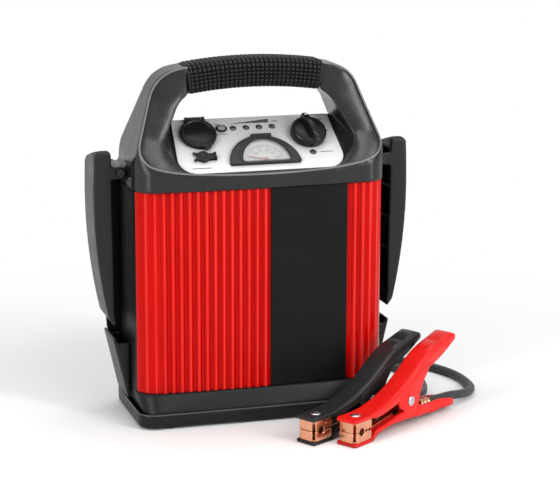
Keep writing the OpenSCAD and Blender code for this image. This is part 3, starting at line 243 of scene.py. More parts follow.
def mouldedPlastic(name, colour, roughness, grain=900, grainDepth=0.00003, rounding=0.0012, rub=1.6,
                   spread=0.14, coat=0.0, specular=0.5):
    # satin moulded plastic: soft blotches, fine grain, edges a little paler as wear and as a painted
    # highlight, and painted shade in grooves
    f = Finish(name)
    tone = f.blotchy(colour, spread)
    normal = f.rounded(rounding) if rounding else None
    if rub:
        # paler edges: partly wear, partly a painted highlight along rounded edges
        edgeWearAndHighlight = f.product(f.edge(normal), f.span(f.noise(wearAndHighlightGrain, 4), 0.15, 0.7))
        tone = f.blend(edgeWearAndHighlight, tone, scaled(colour, rub))
    rough = f.span(f.noise(sheen, 4, 0.6), roughness - 0.05, roughness + 0.06)
    # the colour carries painted shade in grooves and corners
    f.set(colour=f.withPaintedShade(tone), roughness=rough, coat=coat, coatRoughness=0.15, specular=specular)
    f.set(normal=f.bump(f.noise(grain, 2, 0.6), grainDepth, normal))
    return f.material


def metal(name, colour, roughness, scratch=(1, 1, 1), depth=0.000012, dull=0.75):
    # worked metal: fine scratches along one direction and a thin dull film
    f = Finish(name)
    film = f.span(f.noise(90, 4, 0.6), 0, 1)
    f.set(colour=f.blend(film, colour, scaled(colour, dull)), metallic=1.0)
    f.set(roughness=f.span(f.noise(160, 3, 0.6), roughness - 0.07, roughness + 0.1))
    f.set(normal=f.bump(f.noise(500, 3, 0.7, stretch=scratch), depth, f.rounded(0.0005)))
    return f.material


# crest is the colour of the painted highlight on the rib crests; groove is how deep the painted shade in the
# grooves goes
ribs = {"colour": (0.49, 0.0016, 0.0006), "spread": 0.05, "crest": (0.78, 0.04, 0.03),
        "pitch": 0.0076, "highlightBand": (0.0002, 0.0013), "roughness": (0.08, 0.18), "specular": 0.09,
        "groove": 0.75}


def ribbedGloss(name):
    # gloss moulding with a painted highlight, paler along the rib crests, and painted shade in the grooves
    f = Finish(name)
    wave = f.add("Math", {0: f.along("X"), 1: ribs["pitch"] / 2}, operation="PINGPONG")
    patches = f.span(f.noise(30, 2, 0.5, stretch=(1, 1, 0.15)), 0.45, 1)
    # painted highlight: paler in a band along each rib crest, broken into patches
    paintedHighlight = f.product(f.span(wave.outputs[0], 1, 0, *ribs["highlightBand"]), patches)
    tone = f.blend(paintedHighlight, f.blotchy(ribs["colour"], ribs["spread"]), ribs["crest"])
    rough = f.span(f.noise(sheen, 4, 0.6), *ribs["roughness"])
    f.set(colour=f.withPaintedShade(tone, ribs["groove"]), roughness=rough, specular=ribs["specular"])
    f.set(normal=f.bump(f.noise(900, 2, 0.6), 0.000004, f.rounded(0.0008)))
    return f.material


def clearPlastic(name):
    # thin clear sheet with a faint haze
    f = Finish(name)
    f.set(colour=(1.0, 1.0, 1.0), roughness=f.span(f.noise(80, 3), 0.02, 0.06), alpha=0.14, specular=0.5)
    return f.material


# low and high are lit and shaded tones of one paint, a painted shading up the slope
paint = {"low": (0.80, 0.80, 0.81), "high": (0.42, 0.42, 0.425), "between": (0.222, 0.264),
         "flakes": (0.84, 1.1), "metallic": 0.12, "roughness": (0.42, 0.55), "specular": 0.3}


def silverPaint(name):
    # fine metallic paint: pale flakes, faint brushing across, darker up the slope as painted shade, and
    # painted shade in grooves
    f = Finish(name)
    tone = f.blend(f.span(f.along("Z"), 0, 1, *paint["between"]), paint["low"], paint["high"])
    flakes = f.span(f.noise(2600, 2, 0.7), *paint["flakes"], 0.25, 0.75)
    f.set(colour=f.blend(1, f.withPaintedShade(tone, 0.45, 0.006), flakes, "MULTIPLY"), metallic=paint["metallic"],
          roughness=f.span(f.noise(300, 3), *paint["roughness"]), specular=paint["specular"])
    f.set(normal=f.bump(f.noise(1800, 2, 0.6, stretch=(0.15, 1, 1)), 0.000008, f.rounded(0.0004)))
    return f.material


plastics = {  # slot: name, colour, roughness, what differs from the usual
    "black_plastic": ("shellBlack", (0.011, 0.0113, 0.0117), 0.38,
                      dict(rub=3.2, rounding=0.0022, specular=0.26)),
    "base_black": ("baseBlack", (0.008, 0.0082, 0.0086), 0.34, dict(rub=3.2, rounding=0.0022, specular=0.2)),
    "shell_round": ("housingBlack", (0.012, 0.0123, 0.0127), 0.24, dict(rub=1.4, specular=0.36)),
    "dark_plastic": ("coverBlack", (0.008, 0.0082, 0.0086), 0.42, dict(rub=2.6, specular=0.13)),
    "plate_black": ("plateBlack", (0.006, 0.006, 0.0063), 0.34, dict(grainDepth=0.00001, specular=0.12)),
    "gloss_black": ("controlBlack", (0.008, 0.008, 0.0085), 0.26,
                    dict(rub=1.8, grainDepth=0.00001, rounding=0.0003, specular=0.25)),
    "clamp_red": ("clampRed", (0.7, 0.0085, 0.0055), 0.3,
                  dict(rub=1.2, grainDepth=0.00002, rounding=0.0004, specular=0.25)),
    "clamp_black": ("clampBlack", (0.017, 0.0178, 0.0182), 0.34,
                    dict(grainDepth=0.00002, rounding=0.0004, specular=0.26)),
    "rubber": ("gripRubber", (0.014, 0.014, 0.0145), 0.5,
               dict(grain=1500, rub=1.5, rounding=0.0003, specular=0.25)),
    # pale grey of the tray's lip bead: a painted highlight on the rim's rounded edge
    "edge_grey": ("edgeGrey", (0.06, 0.06, 0.062), 0.3, dict(rub=1.3, rounding=0.0004, specular=0.4)),
    # pale grey of the housing's face bead: a painted highlight on the rim's rounded edge
    "rim_polish": ("rimPolish", (0.15, 0.15, 0.153), 0.22, dict(rub=1.3, rounding=0.0005)),
    "bezel_grey": ("bezelGrey", (0.019, 0.0195, 0.021), 0.38, dict(rub=1.4, rounding=0.0003, specular=0.25)),
    "dial_white": ("dialWhite", (0.86, 0.86, 0.84), 0.45, dict(rub=0, rounding=0, spread=0.03)),
    "needle_red": ("needleRed", (0.5, 0.01, 0.01), 0.4, dict(rub=1.1, rounding=0.0002)),
    "light_dark": ("lampDark", (0.012, 0.012, 0.013), 0.12, dict(rub=1.2, rounding=0.0004, coat=0.6)),
    "button_grey": ("buttonGrey", (0.2, 0.2, 0.2), 0.4, dict(rub=1.3, rounding=0.0006)),
    "print_dark": ("printDark", (0.05, 0.05, 0.052), 0.5, dict(rub=0, rounding=0)),
    "print_white": ("printWhite", (0.75, 0.75, 0.74), 0.5, dict(rub=0, rounding=0)),
    "battery_grey": ("batteryGrey", (0.06, 0.065, 0.08), 0.5, {}),
    "board_green": ("boardGreen", (0.01, 0.12, 0.04), 0.35, dict(rub=1.2)),
    "cable_black": ("cableJacket", (0.02, 0.02, 0.021), 0.45, dict(grain=1200, rub=0, rounding=0)),
}
metals = {
    "copper_jaw": ("jawCopper", (0.86, 0.42, 0.25), 0.24,
                   dict(scratch=(1, 0.12, 1), depth=0.000006, dull=0.72)),
    "black_steel": ("blackSteel", (0.05, 0.05, 0.052), 0.4, {}),
    "steel": ("platedSteel", (0.66, 0.66, 0.68), 0.26, {}),
    "brass": ("brass", (0.72, 0.5, 0.2), 0.3, {}),
    "copper": ("copper", (0.95, 0.5, 0.32), 0.3, {}),
    "lead": ("leadGrey", (0.3, 0.3, 0.32), 0.55, {}),
    "alloy": ("castAlloy", (0.52, 0.52, 0.54), 0.45, dict(depth=0.00004)),
}
finishes = {"red_plastic": ribbedGloss("glossRed"), "panel_silver": silverPaint("panelSilver"),
            "clear": clearPlastic("clearLens")}
for make, table in ((mouldedPlastic, plastics), (metal, metals)):
    for slot, (name, colour, roughness, options) in table.items():
        finishes[slot] = make(name, colour, roughness, **options)


def dress(name, finish):
    mesh = frame["nodes"][name].data
    mesh.materials.clear()
    mesh.materials.append(finishes[finish])


for entry in frame["record"]["subparts"]:
    if entry.get("node") in frame["nodes"]:
        dress(entry["node"], entry["material_slot"])
dress("arm_pins", "black_steel")
print("materials ready")

# ---- modelling helpers, in millimetres ----

homes = {node: body for body, nodes in frame["record"]["behaviour"]["bodies"].items() for node in nodes}
millimetre = 0.001  # in metres


def at(x=0, y=0, z=0):
    return Matrix.Translation((x, y, z))


def about(axis, degrees):
    return Matrix.Rotation(math.radians(degrees), 4, axis)


def arcOf(x, y, radius, first, last, steps):
    # points on an arc, angles in degrees
    turns = [math.radians(first + (last - first) * i / steps) for i in range(steps + 1)]
    return [(x + radius * math.cos(a), y + radius * math.sin(a)) for a in turns]


def rectangle(left, right, low, high):
    return [(left, low), (right, low), (right, high), (left, high)]


def mirrored(points):
    # the same run on the other side, drawn back
    return [(-x, y) for x, y in reversed(points)]


def readOff(table, s):
    # a value from a table of (place, value), in a straight line between places
    if s <= table[0][0]:
        return table[0][1]
    for (s0, a), (s1, b) in zip(table, table[1:]):
        if s <= s1:
            return a + (b - a) * (s - s0) / (s1 - s0)
    return table[-1][1]


def vertsOf(geom):
    return [g for g in geom if isinstance(g, bmesh.types.BMVert)]


def edgesOf(geom):
    return [g for g in geom if isinstance(g, bmesh.types.BMEdge)]


def loopOf(bm, points):
    # a closed loop of edges through a row of (x, y, z)
    line = [bm.verts.new(p) for p in points]
    return [bm.edges.new((line[i - 1], line[i])) for i in range(len(line))]


def block(bm, points, low, high, place=None):
    # an outline raised to a solid
    before = set(bm.verts)
    foot = bm.faces.new([bm.verts.new((x, y, low)) for x, y in points])
    out = bmesh.ops.extrude_face_region(bm, geom=[foot])["geom"]
    bmesh.ops.translate(bm, verts=vertsOf(out), vec=(0, 0, high - low))
    new = [v for v in bm.verts if v not in before]
    if place:
        bmesh.ops.transform(bm, matrix=place, verts=new)
    return new


def turned(bm, profile, steps=48, place=None):
    # a profile of (radius, height) turned about Z
    before = set(bm.verts)
    line = [bm.verts.new((r, 0, h)) for r, h in profile]
    edges = [bm.edges.new(pair) for pair in zip(line, line[1:])]
    bmesh.ops.spin(bm, geom=line + edges, cent=(0, 0, 0), axis=(0, 0, 1), angle=math.radians(360),
                   steps=steps, use_merge=True)
    new = [v for v in bm.verts if v not in before]
    bmesh.ops.remove_doubles(bm, verts=new, dist=0.001)
    new = [v for v in new if v.is_valid]
    if place:
        bmesh.ops.transform(bm, matrix=place, verts=new)
    return new


def soften(bm, radius, segments=3, angle=30, verts=None, above=None):
    # rounds the edges that turn by more than an angle
    own = set(verts) if verts else None
    edges = []
    for edge in bm.edges:
        if len(edge.link_faces) != 2 or edge.calc_face_angle() < math.radians(angle):
            continue
        if own and not all(v in own for v in edge.verts):
            continue
        if above is not None and not all(v.co.z > above for v in edge.verts):
            continue
        edges.append(edge)
    bmesh.ops.bevel(bm, geom=edges, offset=radius, offset_type="OFFSET", segments=segments, profile=0.5,
                    affect="EDGES", clamp_overlap=True, material=-1)


def loft(bm, rings):
    # skins a row of loops with the same number of points and closes both ends
    loops = [loopOf(bm, ring) for ring in rings]
    for near, far in zip(loops, loops[1:]):
        bmesh.ops.bridge_loops(bm, edges=near + far)
    for loop in (loops[0], loops[-1]):
        bmesh.ops.contextual_create(bm, geom=loop)


def made(name, bm, looks, body, *nodes, place=None, sharp=35):
    # the finished piece, in metres, on its body
    bmesh.ops.transform(bm, matrix=Matrix.Scale(millimetre, 4) @ (place or Matrix()), verts=bm.verts)
    bmesh.ops.remove_doubles(bm, verts=bm.verts, dist=0.000002)
    bmesh.ops.recalc_face_normals(bm, faces=bm.faces)
    mesh = bpy.data.meshes.new(name)
    bm.to_mesh(mesh)
    bm.free()
    for look in looks:
        mesh.materials.append(finishes[look])
    mesh.shade_smooth()
    mesh.set_sharp_from_angle(angle=math.radians(sharp))
    piece = placed(name, mesh)
    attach(piece, body)
    if nodes:
        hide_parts(*nodes)
    return piece


def fitted(name, bm, look, node, place=None, sharp=35):
    # a finished piece that stands for one node, on that node's body
    return made(name, bm, [look], homes[node], node, place=place, sharp=sharp)


panel = {"spot": (0, 10.5, 264), "tilt": 38}
panelFrame = at(*panel["spot"]) @ about("X", panel["tilt"])


def onPanel(u, v, turn=0):
    return panelFrame @ at(u, v, 0) @ about("Z", turn)


# ---- cables ----

cable = {"radius": 0.004, "lie": 0.0041, "length": {"red": 0.438, "black": 0.433}}
low = cable["lie"]
routes = {  # from the gland to the sleeve in the clamp
    "red": [(-0.020, 0.0705, 0.042), (-0.019, 0.084, 0.038), (-0.010, 0.101, 0.027), (0.008, 0.114, 0.017),
            (0.031, 0.122, 0.008), (0.058, 0.125, low), (0.095, 0.121, low), (0.132, 0.110, low),
            (0.162, 0.090, low), (0.184, 0.067, low), (0.199, 0.043, low), (0.207, 0.019, low),
            (0.208, -0.008, low), (0.202, -0.031, 0.0051), (0.188, -0.046, 0.007), (0.1687, -0.0579, 0.010),
            (0.1426, -0.0746, 0.0117)],
    "black": [(-0.075, 0.0705, 0.042), (-0.073, 0.084, 0.037), (-0.062, 0.100, 0.023), (-0.042, 0.109, 0.009),
              (-0.015, 0.111, low), (0.020, 0.110, low), (0.060, 0.109, low), (0.098, 0.105, low),
              (0.130, 0.093, low), (0.151, 0.075, low), (0.164, 0.052, low), (0.169, 0.028, low),
              (0.167, 0.004, low), (0.160, -0.018, 0.0051), (0.152, -0.034, 0.007), (0.1405, -0.0462, 0.010),
              (0.1134, -0.0622, 0.0117)],
}


def tube(name, points, radius, look, facets, kind="POLY", unit=1, closed=False):
    # a round line through a run of points, on the root
    data = bpy.data.curves.new(name, "CURVE")
    data.dimensions = "3D"
    data.bevel_depth, data.bevel_resolution = radius * unit, facets
    data.use_fill_caps = True
    line = data.splines.new(kind)
    line.use_cyclic_u = closed
    stops = line.points if kind == "POLY" else line.bezier_points
    stops.add(len(points) - 1)
    for stop, (x, y, z) in zip(stops, points):
        if kind == "POLY":
            stop.co = (x * unit, y * unit, z * unit, 1)
        else:
            stop.co = (x * unit, y * unit, z * unit)
            stop.handle_left_type = stop.handle_right_type = "AUTO"
    data.materials.append(finishes[look])
    piece = placed(name, data)
    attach(piece, "root")
    return piece


for side, route in routes.items():
    tube(side + "Cable", route, cable["radius"], "cable_black", 5, "BEZIER")
    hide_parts(side + "_cable")
print("cables laid")

# ---- handle grip ----

grip = {"halfAngle": 8.6, "outer": 420.9, "inner": 395.1, "centre": -101.7, "front": -10.4, "back": 23.4,
        "corner": 8.0, "columns": 30, "flats": 4, "around": 3, "upright": 3, "collar": 0.2,
        "gap": 0.62, "sink": 0.9, "edge": 0.14, "height": 1.0, "top": 0.6, "crown": 0.5}


def gripSection():
    # a rounded rectangle of (y, z) with evenly cut sides
    g = grip
    r = g["corner"]
    centres = [(g["back"] - r, g["outer"] - r), (g["front"] + r, g["outer"] - r),
               (g["front"] + r, g["inner"] + r), (g["back"] - r, g["inner"] + r)]
    points = []
    for i, (y, z) in enumerate(centres):
        points += arcOf(y, z, r, 90 * i, 90 * i + 90, g["around"])
        nextTurn = 90 * ((i + 1) % 4)
        end, begin = points[-1], arcOf(*centres[(i + 1) % 4], r, nextTurn, nextTurn, 1)[0]
        cuts = g["flats"] if i % 2 == 0 else g["upright"]
        points += [(end[0] + (begin[0] - end[0]) * k / cuts, end[1] + (begin[1] - end[1]) * k / cuts)
                   for k in range(1, cuts)]
    return points


def makeGrip():
    # the section is swept along the handle in columns, and each field rises to a knob
    g = grip
    bm = bmesh.new()
    edges = loopOf(bm, [(0, y, z) for y, z in gripSection()])
    line = list(bm.verts)
    whole, collar = math.radians(g["halfAngle"]), math.radians(g["collar"])
    bmesh.ops.rotate(bm, cent=(0, 0, 0), matrix=Matrix.Rotation(-whole, 3, "Y"), verts=line)
    knobs, ends, geom = [], [edges], line + edges
    for angle, steps in ((collar, 1), (2 * (whole - collar), g["columns"]), (collar, 1)):
        before = set(bm.faces)
        geom = bmesh.ops.spin(bm, geom=geom, cent=(0, 0, 0), axis=(0, 1, 0), angle=angle,
                              steps=steps)["geom_last"]
        if steps > 1:
            knobs = [f for f in bm.faces if f not in before]
    ends.append(edgesOf(geom))
    for loop in ends:
        bmesh.ops.contextual_create(bm, geom=loop)
    bmesh.ops.recalc_face_normals(bm, faces=bm.faces)
    for inward, outward in ((g["gap"], -g["sink"]), (g["edge"], g["height"]), (g["top"], g["crown"])):
        bmesh.ops.inset_individual(bm, faces=knobs, thickness=inward, depth=outward)
    fitted("handleGrip", bm, "rubber", "handle_grip", at(0, 0, g["centre"]), 50)


makeGrip()
print("grip made")

# ---- clamps, drawn along X from the nose ----

clamps = {"red": {"nose": (42.4, -138.5), "turn": 32.6}, "black": {"nose": (11, -123), "turn": 30.6}}
clamp = {"half": 10.3, "wall": 2.6, "pivot": (79, 24), "cheek": 12.5, "cheekArc": (205, 352),
         "cheekSheet": 2.6, "proud": 0.2,
         "cheekLine": [(93.5, 30), (98, 38), (106, 48), (112, 54), (92, 49), (76, 39), (64, 31), (61, 25.5),
                       (64.5, 19.5)],
         "lug": [(66, 12), (94, 12), (86, 29), (72, 29)], "lugGap": 0.35,
         "edge": 0.5, "dome": 0.10, "channelRound": 1.5, "swell": 0.8, "ramp": 1.6}
upperShape = {  # tables of (distance from the nose, value)
    "top": [(0, 23.6), (1.2, 24.4), (22, 24.5), (30, 25.6), (40, 27.9), (50, 30.6), (60, 34.6), (71, 39.8),
            (82, 46.6), (93, 54.3), (100, 59), (106, 62.2), (116, 65.4), (127, 68.4), (136, 71), (142, 72.5),
            (145.4, 71.6), (147, 69.2)],
    "bottom": [(26, 21.2), (30, 19.6), (38, 20.4), (46, 22), (60, 25.5), (68, 31), (74, 35),
               (84, 36), (92, 39), (98, 45.5), (113, 50.5), (128, 57), (140, 64), (147, 67.2)],
    "hollow": [(58, 0), (62, 2.5), (70, 5.5), (84, 10.5), (100, 12), (120, 10), (134, 7), (143, 3),
               (147, 0)],
    "half": [(0, 9.7), (1.5, 10.3), (24, 10.3), (34, 9.9), (50, 10.3), (95, 10.3), (108, 10.1), (120, 10.3),
             (142, 10.3), (145.5, 9.7), (147, 8.2)],
    "corner": [(0, 0.8), (22, 0.9), (32, 1.6), (46, 2.2), (60, 2.6), (95, 2.6), (106, 2.2), (114, 1.8)],
    "stops": [0, 0.5, 1.2, 8, 18, 22, 26, 30, 34, 38, 42, 46, 50, 55, 60, 65, 71, 77, 82, 88, 93, 97, 100,
              103, 106, 108, 109.5, 111, 116, 121, 122.5, 124, 126, 127.5, 134, 140, 141.5, 143, 144.4,
              145.6, 146.5, 147],
    "pads": [(109, 123), (126.5, 141)],
}
lowerShape = {
    "bottom": [(0, 1.0), (0.8, 0), (25, 0), (28, 1.2), (32, 3.9), (40, 6), (55, 7.9), (78, 7.4), (98, 5.4),
               (99, 6.1), (104, 5.8), (110, 5.2), (111, 4.2), (123, 4.2), (124, 5.2), (130, 5.2), (131, 4.3),
               (146, 4.1), (147, 4.8)],
    "top": [(0, 2.7), (1, 3), (24, 3), (30, 9), (42, 11.2), (55, 13.5), (66, 16), (79, 17), (92, 17),
            (100, 15.6), (106, 14.6), (126, 14.4), (136, 12.6), (145, 10.6), (147, 9.6)],
    "hollow": [(60, 0), (62, 5), (84, 6.6), (104, 7.4), (112, 8), (126, 8), (136, 6), (146.9, 3.6),
               (147, 3.4)],
    "half": [(0, 9.6), (1.5, 10.3), (24, 10.3), (34, 9.8), (46, 10.1), (60, 10.3), (98, 10.3), (106, 9.6),
             (112, 8.9), (144, 8.8), (147, 8.2)],
    "corner": [(0, 0.6), (24, 0.7), (34, 1.6), (60, 2.6), (96, 2.4), (112, 1.6), (147, 1.2)],
    "stops": [0, 0.8, 1.6, 8, 17, 24, 25.5, 27, 28.5, 30, 32, 36, 42, 48, 55, 60, 62, 66, 72, 79, 86, 92, 98,
              99, 104, 106, 110, 111, 117, 123, 124, 126, 130, 131, 136, 141, 145, 146, 147],
    "pads": [],
}
flatCuts = (1, 0.93, 0.85, 0.45, 0, -0.45, -0.85, -0.93, -1)  # places across the flat of the crown


def shellRing(shape, s, upper):
    # one cross section: a closed crown with a channel on its other side
    high, low = readOff(shape["top"], s), readOff(shape["bottom"], s)
    half = readOff(shape["half"], s)
    corner = min(readOff(shape["corner"], s), high - low - 0.6)
    depth = max(readOff(shape["hollow"], s), 0)
    crown, mouth, up = (high, low, 1) if upper else (low, high, -1)
    swell, edge = 0.0, clamp["edge"]
    for first, last in shape["pads"]:
        if first <= s <= last:
            swell = clamp["swell"] * min(1, (s - first) / clamp["ramp"], (last - s) / clamp["ramp"])
    turns = [math.radians(90 * i / 5) for i in range(5)]
    side = [(half - corner + corner * math.cos(a), crown - up * corner + up * corner * math.sin(a))
            for a in turns]
    dome = clamp["dome"] * corner
    middle = [(cut * (half - corner),
               crown + up * (dome * (1 - cut * cut) + (swell if abs(cut) < 0.9 else 0))) for cut in flatCuts]
    right = [(half - edge, mouth), (half, mouth + up * edge)] + side
    inner = half - clamp["wall"]
    floor = mouth + up * min(depth, max(high - low - clamp["wall"], 0))
    bend = min(clamp["channelRound"], max((floor - mouth) * up * 0.5, 0))
    channel = [(inner - bend, floor), (inner, floor - up * bend), (inner, mouth)]
    return [(s, y, z) for y, z in right + middle + mirrored(right) + mirrored(channel) + channel]


def clampFrame(side):
    x, y = clamps[side]["nose"]
    return at(x, y, 0) @ about("Z", clamps[side]["turn"])


def makeHalf(side, upper):
    # a moulded half: the upper one has cheeks outside, the lower one lugs inside them
    bm = bmesh.new()
    shape = upperShape if upper else lowerShape
    loft(bm, [shellRing(shape, s, upper) for s in shape["stops"]])
    half, sheet = clamp["half"], clamp["cheekSheet"]
    if upper:
        outline = clamp["cheekLine"] + arcOf(*clamp["pivot"], clamp["cheek"], *clamp["cheekArc"], 14)
        outer, bend = half + clamp["proud"], (0.7, 3)
    else:
        outline = clamp["lug"]
        outer, bend = half - sheet - clamp["lugGap"], (0.5, 2)
    for y in (outer, sheet - outer):
        soften(bm, *bend, 50, block(bm, outline, 0, sheet, at(0, y, 0) @ about("X", 90)))
    node = side + ("_clamp_upper" if upper else "_clamp_lower")
    fitted(side + ("UpperHalf" if upper else "LowerHalf"), bm, "clamp_" + side, node, clampFrame(side), 48)


steel = {"pin": 3, "pinProud": 0.35, "pinDome": [(4.4, 0), (4.4, 0.5), (3.9, 1.0), (2.6, 1.35), (0, 1.5)],
         "rivet": 13, "topPlate": 24.4,
         "upper": [(0, -3.2), (2, -3.2), (2, 0), (4.6, 0), (4.6, 0.35), (4.1, 0.75), (3, 1.05), (1.6, 1.25),
                   (0, 1.3)],
         "lower": [(0, 5), (2, 5), (2, 1.4), (4, 1.4), (4, 0.7), (3, 0.4), (0, 0.4)]}


def makeSteel(side):
    # the pivot pin with domed heads, and both rivets
    x, z = clamp["pivot"]
    half = clamp["half"] + steel["pinProud"]
    bm = bmesh.new()
    for turn in (90, -90):
        turned(bm, [(0, -half), (steel["pin"], -half), (steel["pin"], 0)] + steel["pinDome"], 32,
               at(x, -half if turn > 0 else half, z) @ about("X", turn))
    fitted(side + "PivotPin", bm, "steel", side + "_clamp_pin", clampFrame(side))
    for place, height in (("upper", steel["topPlate"]), ("lower", 0)):
        bm = bmesh.new()
        turned(bm, steel[place], 32, at(steel["rivet"], 0, height))
        fitted(side + "Rivet" + place.title(), bm, "steel", side + "_rivet_" + place, clampFrame(side))


jaw = {"front": 1.0, "sheet": 1.5, "half": 9.5, "face": 6.7, "inset": 1.2, "cheekStart": 3.4, "end": 24,
       "biteStart": 7, "bite": (10.6, 3.4, 3.2), "teeth": (15, 17, 19, 21, 23), "notch": 2, "edge": 0.42,
       "upper": (21.2, 12.35), "lower": (3.0, 12.0)}
strap = {"line": [(22, 3), (24, 3.2), (30, 9), (55, 13.5), (62, 15), (64.5, 11.2), (84, 10.4), (104, 7.2),
                  (112, 6.6), (118, 6.6)], "half": 3.5, "sheet": 0.9}
sleeve = {"start": 105, "length": 13, "height": 11.7, "radius": 4.5, "groove": 0.5, "grooves": (2.6, 7.4)}


def jawCheek(seat, teeth, up):
    # the toothed side plate: a round bite near the nose, then small teeth
    j = jaw
    x, reach, deep = j["bite"]
    notch = j["notch"] * up
    cheek = [(j["cheekStart"], seat), (j["cheekStart"], teeth), (j["biteStart"], teeth)]
    cheek += [(x - reach * math.cos(math.radians(a)), teeth + up * deep * math.sin(math.radians(a)))
              for a in range(15, 181, 15)]
    cheek += [(s, teeth + notch * share) for s, share in zip(j["teeth"], (0, 0.6, 0, 0.6, 0.3))]
    return cheek + [(j["end"], teeth + notch), (j["end"], seat)]


def makeJaw(side, half):
    # a folded copper channel: backing plate, front plate and toothed cheeks with open corners
    j = jaw
    seat, teeth = j[half]
    up = 1 if seat > teeth else -1
    bm = bmesh.new()
    width = j["half"] - j["inset"]
    block(bm, rectangle(j["front"] + j["inset"], j["end"] - 1, -width, width),
          *sorted((seat, seat - up * j["sheet"])))
    block(bm, rectangle(-j["face"], j["face"], *sorted((seat, teeth))), j["front"], j["front"] + j["sheet"],
          about("Z", 90) @ about("X", 90))
    for y in (j["half"], j["sheet"] - j["half"]):
        block(bm, jawCheek(seat, teeth, up), 0, j["sheet"], at(0, y, 0) @ about("X", 90))
    bmesh.ops.recalc_face_normals(bm, faces=bm.faces)
    soften(bm, j["edge"], 3, 40)
    if half == "lower":
        addStrap(bm)
    fitted(side + half.title() + "Jaw", bm, "copper_jaw", side + "_jaw_" + half, clampFrame(side), 40)


def addStrap(bm):
    # the copper strap from the jaw to the cable, and the crimped sleeve at its end
    w, t = strap["half"], strap["sheet"]
    loft(bm, [[(s, -w, z), (s, w, z), (s, w, z + t), (s, -w, z + t)] for s, z in strap["line"]])
    r, far, dip = sleeve["radius"], sleeve["length"], sleeve["radius"] - sleeve["groove"]
    profile = [(0, 0), (r - 0.3, 0), (r, 0.4)]
    for s in sleeve["grooves"]:
        profile += [(r, s), (dip, s + 0.6), (dip, s + 2.4), (r, s + 3.0)]
    profile += [(r, far - 0.4), (r - 0.3, far), (0, far)]
    turned(bm, profile, 40, at(sleeve["start"], 0, sleeve["height"]) @ about("Y", 90))


spring = {"wire": 0.8, "radius": 5, "pitch": 1.9, "turns": 3, "over": 130, "steps": 32, "legs": (20, 6)}


def makeSpring(side):
    # a wire wound round the pin, with one leg on each half
    c = spring
    bm = bmesh.new()
    circle = bmesh.ops.create_circle(bm, segments=12, radius=c["wire"],
                                     matrix=at(c["radius"]) @ about("X", 90))["verts"]
    bmesh.ops.translate(bm, verts=circle, vec=(0, -c["pitch"] * c["turns"] / 2, 0))
    ring = list(circle) + list({e for v in circle for e in v.link_edges})
    turn = 360 * c["turns"] + c["over"]
    out = bmesh.ops.spin(bm, geom=ring, cent=(0, 0, 0), axis=(0, 1, 0), dvec=(0, c["pitch"] / c["steps"], 0),
                         angle=math.radians(turn), steps=round(turn / 360 * c["steps"]))["geom_last"]
    a = math.radians(turn)
    ways = (Vector((-math.sin(a), 0, -math.cos(a))) * c["legs"][0], Vector((0, 0, 1)) * c["legs"][1])
    for geom, way in zip((out, ring), ways):
        leg = bmesh.ops.extrude_edge_only(bm, edges=edgesOf(geom))["geom"]
        bmesh.ops.translate(bm, verts=vertsOf(leg), vec=way)
        tip = [e for e in edgesOf(leg) if all(len(v.link_edges) == 3 for v in e.verts)]
        bmesh.ops.contextual_create(bm, geom=tip)
    x, z = clamp["pivot"]
    fitted(side + "Spring", bm, "steel", side + "_clamp_spring", clampFrame(side) @ at(x, 0, z))


for side in clamps:
    makeHalf(side, True)
    makeHalf(side, False)
    makeSteel(side)
    makeSpring(side)
    makeJaw(side, "upper")
    makeJaw(side, "lower")
print("clamps made")

# ---- control panel, drawn flat on the panel's face ----

lightRow = -12.7
spots = {"outlet": (-51.7, -19.8), "jack": (-52.3, -46), "knob": (48.5, -24.5), "gauge": (2.6, -57.3),
         "button": (-28.8, lightRow)}
outletCap = {"lid": [(0, 4.5), (6, 4.42), (10.5, 4.15), (12.6, 3.8), (13.2, 3.75), (13.7, 4.2), (14.4, 4.6),
                     (15.3, 4.7), (16.1, 4.3), (16.5, 3.5), (16.5, 1.9), (16.1, 1.4), (0, 1.4)],
             "under": 1.4, "hinge": 17.5, "leaf": (13, 5.4, 4.0), "barrelHeight": 2.6, "edge": 0.5,
             "barrel": [(0, -5.5), (1.6, -5.5), (1.9, -5.2), (1.9, 5.2), (1.6, 5.5), (0, 5.5)],
             "tab": [(14, -3.6), (17.6, -3.6), (18.8, -2.6), (19.2, 0), (18.8, 2.6), (17.6, 3.6), (14, 3.6)],
             "tabTop": 3.4, "tabTurn": -72}


def makeOutletCap():
    # round lid with a raised rim and a shallow dish, its hinge and a thumb tab
    o = outletCap
    start, half, top = o["leaf"]
    bm = bmesh.new()
    turned(bm, o["lid"], 64)
    leaf = block(bm, rectangle(-half, half, start, o["hinge"]), o["under"], top)
    soften(bm, o["edge"], 2, 40, leaf)
    turned(bm, o["barrel"], 24, at(0, o["hinge"], o["barrelHeight"]) @ about("Y", 90))
    tab = block(bm, o["tab"], o["under"], o["tabTop"], about("Z", o["tabTurn"]))
    soften(bm, o["edge"], 2, 40, tab)
    fitted("outletLid", bm, "gloss_black", "outlet_cap", onPanel(*spots["outlet"]))


jackCap = {"ring": [(0, 2.5), (2.4, 2.5), (2.9, 3.0), (3.9, 3.25), (4.9, 3.2), (5.7, 2.8), (6, 2.2), (6, 1.2),
                    (0, 1.2)],
           "under": 1.2, "ears": (152, 205), "earTop": 2.6, "lobeTop": 2.9, "barrelSpot": (10.5, 0, 2.5),
           "ear": [(4.4, -1.5), (9.6, -1.1), (10.2, 0), (9.6, 1.1), (4.4, 1.5)],
           "lobe": [(4.5, -3.0), (7.5, -3.4), (10.4, -2.4), (10.4, 2.0), (8.6, 3.2), (4.5, 3.0)],
           "barrel": [(0, -1.9), (1.3, -1.9), (1.3, 1.9), (0, 1.9)]}


